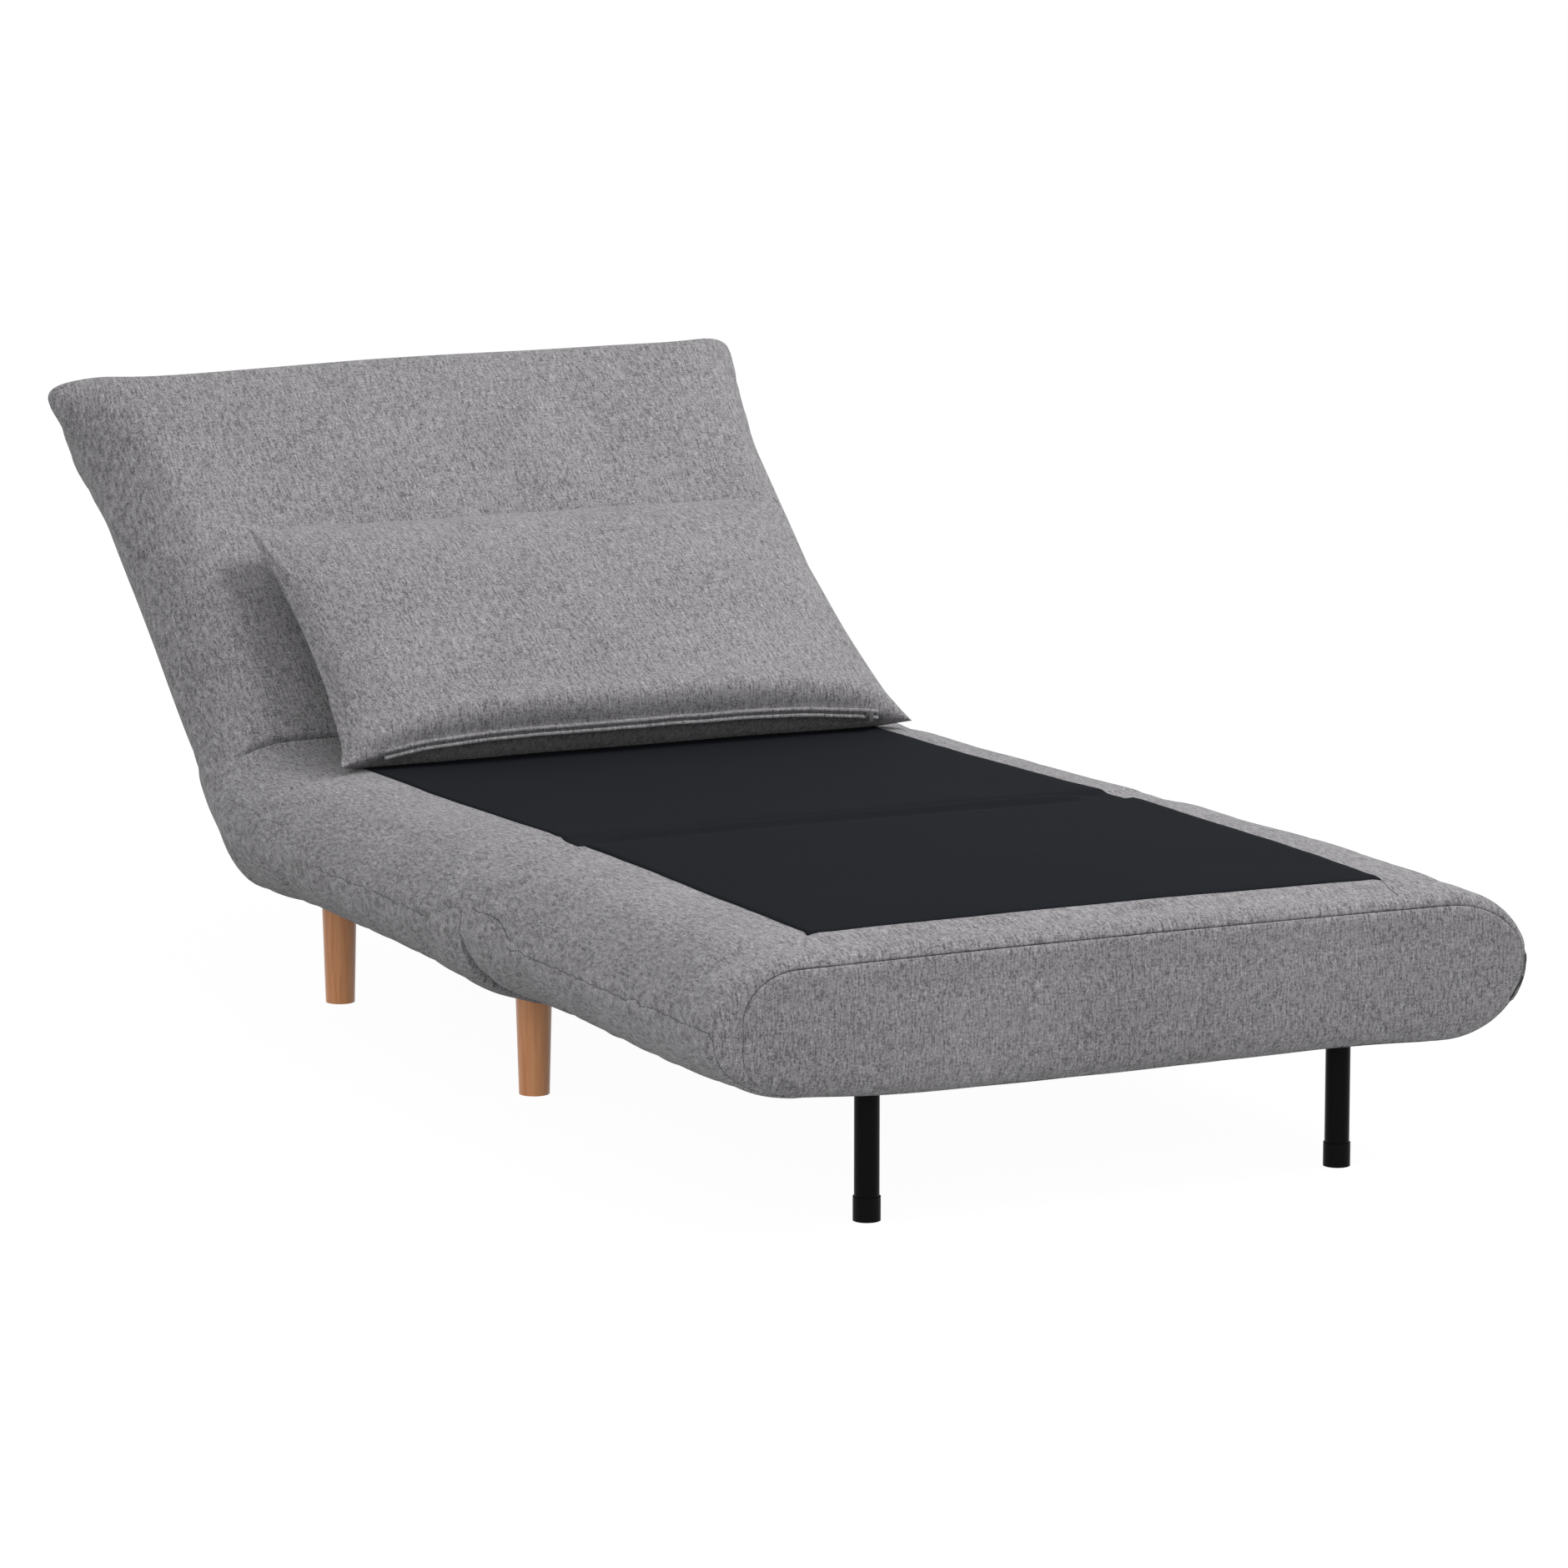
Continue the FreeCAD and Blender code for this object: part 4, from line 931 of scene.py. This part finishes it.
def sleeve_walk(steps, share, angle_at):
    """The sleeve's middle line in Y and Z, which ends on the middle of the backrest."""
    turns = (angle_at[1:] + angle_at[:-1]) / 2
    moves = (steps[1] - steps[0]) * np.column_stack([np.cos(turns), np.sin(turns)])
    walk = np.array([pivot.y + steps[0], pivot.z]) + np.concatenate([[(0, 0)], np.cumsum(moves, axis=0)])
    finish = np.array([pivot.y, pivot.z]) + steps[-1] * np.array([along_y, along_z])
    return walk + np.outer(smoothstep(share), finish - walk[-1])


def recline_sleeve():
    """A sleeve of cover fabric that bends from the seat round to the backrest."""
    bend, seat_reach, back_reach = mm(62, 116, 96)
    steps = np.linspace(-seat_reach, back_reach, 96)
    share = (steps + seat_reach) / (seat_reach + back_reach)
    angle_at = lean * smoothstep((steps + bend) / (2 * bend))
    at_seat, at_back = seat_ring(pivot.y - seat_reach), back_ring(back_reach)
    at_seat[:, 2] -= section_mid
    below = FLAT_STEPS // 2 + int(SIDE_STEPS * 0.86)
    keep = [i % RING for i in range(-below, below + 1)]
    rows = []
    for step, spot, angle, part in zip(steps, sleeve_walk(steps, share, angle_at), angle_at, share):
        ring = at_seat + (at_back - at_seat) * ease(part)
        out, row = outward_of(ring), []
        crease = 13 * MM * exp(-((step - 27 * MM) / (5.5 * MM)) ** 2)
        for column, index in enumerate(keep):
            border = min(1, min(part, 1 - part) / 0.16) * min(1, min(column, len(keep) - 1 - column) / 5)
            lift = 2 * MM - 5 * MM * (1 - ease(border))
            x, _, level = ring[index]
            n = level + out[index, 1] * lift - crease * ease((level - 40 * MM) / (30 * MM))
            row.append((x + out[index, 0] * lift, spot[0] - n * sin(angle),
                        spot[1] + n * cos(angle)))
        rows.append(row)
    return grid_piece("recline_corner_sleeve", rows, GREY)


corner_sleeve = recline_sleeve()
move_to(corner_sleeve, settle_elbow(places_of(corner_sleeve)))


# Lumbar pillow

PILLOW_HALF, PILLOW_HEAD_HALF, PILLOW_SKEW = mm(352, 343, 16)
PILLOW_HEAD = mm(306, 122)
PILLOW_FOOT = np.array([front_y + 1147 * MM, 0.281])
PILLOW_FRONT, PILLOW_BACK, FOOT_RISE = mm(54, -78, 25)
PILLOW_COLUMNS, PILLOW_ROWS = 84, 52
SEAT_TOP = top_z - SEAT_DIP + 2.4 * MM
BACK_FACE = BACK_RADIUS + CROWN + 1.2 * MM


def crowded(count, share):
    """Steps from -1 to 1 that crowd towards both ends."""
    return np.sin(np.linspace(-1, 1, count + 1) * pi / 2 * share) / sin(pi / 2 * share)


def pillow_fullness(a, b):
    """How full the pillow is at a place across and along it, from -1 to 1."""
    foot_round = (1 - abs(b) ** 9) ** 0.5 * (1 - 0.04 * abs(b)) if b < 0 else (1 - b ** 2.5) ** 0.62
    return (1 - abs(a) ** 4.4) ** 0.5 * foot_round


def pillow_cover():
    """Two sheets sewn at a knife edge, full and round at the foot, resting on seat and back."""
    up = lean_back([(0, *PILLOW_HEAD)])[0][1:] - PILLOW_FOOT
    length = np.linalg.norm(up)
    up /= length
    out = np.array([-up[1], up[0]])
    points, index_of, edge = [], {}, []
    for sheet, thick in ((1, PILLOW_FRONT), (-1, PILLOW_BACK)):
        for i, a in enumerate(crowded(PILLOW_COLUMNS, 0.995)):
            for j, b in enumerate(crowded(PILLOW_ROWS, 0.99)):
                rim = i in (0, PILLOW_COLUMNS) or j in (0, PILLOW_ROWS)
                if rim and sheet < 0:
                    continue
                part = (b + 1) / 2
                half = PILLOW_HALF + (PILLOW_HEAD_HALF - PILLOW_HALF) * part
                waist = 12 * MM * (1 - b * b) + 9 * MM * (1 - exp(-((b + 1) / 0.12) ** 2))
                bow = -12 * MM * (1 - a * a) * (1 - part)
                raised = FOOT_RISE * (1 - a ** 4) * exp(-((b + 1) / 0.22) ** 2)
                across = out * (thick * pillow_fullness(a, b))
                y, z = PILLOW_FOOT + up * (part * length) + across + np.array([bow, raised])
                index_of[sheet, i, j] = len(points)
                if rim:
                    index_of[-sheet, i, j] = len(points)
                edge.append(rim)
                points.append((a * (half - waist) + PILLOW_SKEW * part, y, z))
    faces = [tuple(index_of[sheet, i + p, j + q] for p, q in ((0, 0), (1, 0), (1, 1), (0, 1)))
             for sheet in (1, -1) for i in range(PILLOW_COLUMNS) for j in range(PILLOW_ROWS)]
    cover = piece_from("lumbar_pillow", points, faces, GREY)
    hold(cover, np.array(edge), pressure=2.0, travel=4 * MM, slack=0.006)
    return cover, [points[index_of[1, i, 0]] for i in range(PILLOW_COLUMNS + 1)]


def rest_pillow(piece):
    """Press the pillow flat where it touches the seat and the back."""
    points = places_of(piece)
    points[:, 2] = np.maximum(points[:, 2], SEAT_TOP)
    y, z = points[:, 1] - pivot.y, points[:, 2] - pivot.z
    off_back = np.maximum(-y * along_z + z * along_y, BACK_FACE)
    points = lean_back(np.column_stack([points[:, 0], y * along_y + z * along_z, off_back]))
    points[:, 2] = np.maximum(points[:, 2], SEAT_TOP)
    move_to(piece, points)


pillow, foot_seam = pillow_cover()
rest_pillow(pillow)
finer(pillow)
uneven(pillow, 2.0 * MM, 9.0, 1.7)
rest_pillow(pillow)


# Zip along the pillow's foot seam

def zip_tape(path):
    """A closed flat strip that is tapered at its ends."""
    turn = circle(10)
    oval = np.column_stack([np.zeros(len(turn)), 2.6 * MM * np.cos(turn), 6.2 * MM * np.sin(turn)])
    tapers = [min(1.0, 0.25 + 0.25 * min(index, len(path) - 1 - index)) for index in range(len(path))]
    return closed_run("zip_tape", [place + oval * taper for place, taper in zip(path, tapers)], TAPE)


def plate(outline, y, thick):
    """A flat plate that stands across the bed's length, from its outline in X and Z."""
    return closed_run("plate", [[(x, at, z) for x, z in outline] for at in (y, y + thick)], TEETH)


def zip_slider(place):
    """The slider on the teeth, with its pull hanging down."""
    x, y, z = place
    lower = [(-5, -3), (-3, -4.4), (4, -3.4), (5, -2)]
    wedge = [(x + a * MM, z + b * MM) for a, b in lower + [(a, -b) for a, b in reversed(lower)]]
    pull = [(x + (1 + 2.6 * cos(t)) * MM, z + (-5 * (sin(t) < 0) - 1.5 + 3 * sin(t)) * MM)
            for t in np.linspace(0, 2 * pi, 20, endpoint=False)]
    made = joined("zip_slider", [plate(wedge, y - 3.2 * MM, 3 * MM), plate(pull, y - 4.6 * MM, 1 * MM)])
    edge = made.modifiers.new("edge", "BEVEL")
    edge.width, edge.segments = 0.35 * MM, 2
    return bake(made)


def pillow_zip():
    """The zip's pieces with their slots: lips, tape, teeth and slider."""
    seam = spread_along([p for p in foot_seam if abs(p[0]) < 0.305], 3 * MM)
    line = on_surface(surface_of(pillow), seam)
    line[:, 1] -= 1.5 * MM
    line[:, 2] += 1.2 * MM * np.array([noise.noise(Vector((p[0] * 18, 4, 0))) for p in line])
    front = line + np.array(mm(0, -2.7, 0))
    tape, teeth = zip_tape(line), repeated("zip_teeth", [front], mm(0.8, 1.1, 0.65), TEETH, pitch=2.2 * MM)
    lips = [tube("lip", line + np.array(mm(0, -2.4, lift)), 2.3 * MM, GREY, 8) for lift in (3.5, -3.5)]
    return [(joined("zip_lips", lips), "grey_fabric"), (tape, "grey_fabric"), (teeth, "black_plastic"),
            (zip_slider(front[-5]), "black_steel")]


zip_pieces = pillow_zip()


# Screws of the leg plates and staples of the dust cloth

def leg_plate_screws():
    low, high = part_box("leg_mounting_plates")
    half, corner = mm(29, 22)
    return [np.array([(side * (high.x - half) + a * corner, y + b * corner, low.z - 0.2 * MM)
                      for side in (-1, 1) for y in (low.y + half, high.y - half)
                      for a in (-1, 1) for b in (-1, 1)])]


def dust_cloth_staples():
    (left, front, z), (right, rear, _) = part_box("seat_dust_cloth")
    inset = 7 * MM
    corners = [(left + inset, front + inset, z), (right - inset, front + inset, z),
               (right - inset, rear - inset, z), (left + inset, rear - inset, z)]
    return [spread_along([corners[i - 1], corners[i]], 20 * MM) for i in (1, 2, 3, 0)]


dress(repeated("leg_plate_screws", leg_plate_screws(), mm(3.8, 3.8, 1.5), ZINC), "seat", slot="zinc_steel")
dress(repeated("dust_cloth_staples", dust_cloth_staples(), mm(0.6, 0.6, 5.5), ZINC, pitch=42 * MM), "seat",
      slot="zinc_steel")


# Move the backrest pieces from their own frame into the bed's

for part in (backrest, head_panel):
    move_to(part, lean_back(places_of(part)))
move_to(backrest, settle_elbow(places_of(backrest)))


# What each piece rides and stands for

def stretched(cloth):
    """Work out the area and length of a taut cloth; nothing further is done with them."""
    area, length = sum(f.area for f in cloth.data.polygons), float(np.ptp(places_of(cloth)[:, 1]))


dress(extension, "extension", "extension_cover", "extension_top_foam", "extension_seat_foam",
      "extension_left_bolster", "extension_right_bolster", fill=0.95)
dress(end_panel, "extension", "extension_front_panel", fill=0.9)
dress(seat, "seat", "seat_cover", "seat_top_foam", "seat_left_bolster", "seat_right_bolster",
      fill=0.95)
dress(backrest, "backrest", "backrest_cover", "backrest_front_foam", "backrest_rear_foam",
      "backrest_left_bolster", "backrest_right_bolster", fill=0.95)
dress(head_panel, "backrest", "backrest_top_panel", fill=0.9)
dress(pillow, "pillow", "pillow", fill=0.8)
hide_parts("extension_black_cloth", "seat_black_cloth")
for cloth, slot in [(bed_cloth, "black_cloth")] + [(strip, "grey_fabric") for strip in shoulder_strips]:
    stretched(cloth)
    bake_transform(cloth)
stretched(corner_sleeve)
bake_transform(corner_sleeve)
for piece, slot in zip_pieces:
    dress(piece, "pillow", slot=slot)
# The back turns the pillow into the seat; here the pillow and its zip pieces only get meshes of their own
for piece in [pillow] + [piece for piece, slot in zip_pieces]:
    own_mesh(piece)


# Camera, floor and light

YAW, PITCH = radians(26.296), radians(9.948)
SHADE_LIGHT, FLOOR_GLOW, FLOOR_GLOW_SHARE = 0.62, 1.075, 0.9
camera_data = bpy.data.cameras.new("photo_camera")
camera_data.lens, camera_data.sensor_width = 158.18, 36
camera_data.clip_end = 60
camera = shown("photo_camera", camera_data)
camera.location = (-3.2144, front_y - 5.7391, 1.5682)
camera.rotation_euler = (pi / 2 - PITCH, 0, -YAW)
bpy.context.scene.camera = camera


def white_seen(tree):
    """White to the camera and to mirrors, plain to the light that falls on the object."""
    path = tree.nodes.new("ShaderNodeLightPath")
    seen = Wire(tree, path.outputs["Is Camera Ray"])
    for name in ("Is Glossy Ray", "Is Transmission Ray"):
        seen = seen.combined("MAXIMUM", Wire(tree, path.outputs[name]))
    return seen


def build_world():
    world = bpy.data.worlds.new("studio")
    world.use_nodes = True
    tree = world.node_tree
    sky = tree.nodes["Background"].inputs
    sky["Color"].default_value = (1, 1, 1, 1)
    set_input(tree, sky["Strength"], white_seen(tree) * (1 - SHADE_LIGHT) + SHADE_LIGHT)
    bpy.context.scene.world = world


def build_floor():
    half = 60.0
    floor = piece_from("floor", [(-half, -half, 0), (half, -half, 0), (half, half, 0), (-half, half, 0)],
                       [(0, 1, 2, 3)], plain("floor_white", (0.55, 0.55, 0.55), 0.9))
    tree = floor.data.materials[0].node_tree
    glow, mixed = tree.nodes.new("ShaderNodeEmission"), tree.nodes.new("ShaderNodeMixShader")
    glow.inputs["Strength"].default_value = FLOOR_GLOW
    set_input(tree, mixed.inputs["Fac"], white_seen(tree) * FLOOR_GLOW_SHARE)
    tree.links.new(tree.nodes["Principled BSDF"].outputs[0], mixed.inputs[1])
    tree.links.new(glow.outputs[0], mixed.inputs[2])
    tree.links.new(mixed.outputs[0], tree.nodes["Material Output"].inputs["Surface"])


def lamp(name, place, target, size, power):
    data = bpy.data.lights.new(name, "AREA")
    data.shape, data.size, data.energy = "DISK", size, power
    made = shown(name, data)
    made.location = place
    made.rotation_euler = (Vector(target) - Vector(place)).to_track_quat("-Z", "Y").to_euler()


build_world()
build_floor()
lamp("key", (2.6, -1.2, 4.0), (0, 0, 0.2), 2.6, 130)
lamp("fill", (-3.4, -3.6, 2.2), (0, 0, 0.2), 3.0, 45)

bpy.context.scene.view_settings.view_transform = "Standard"
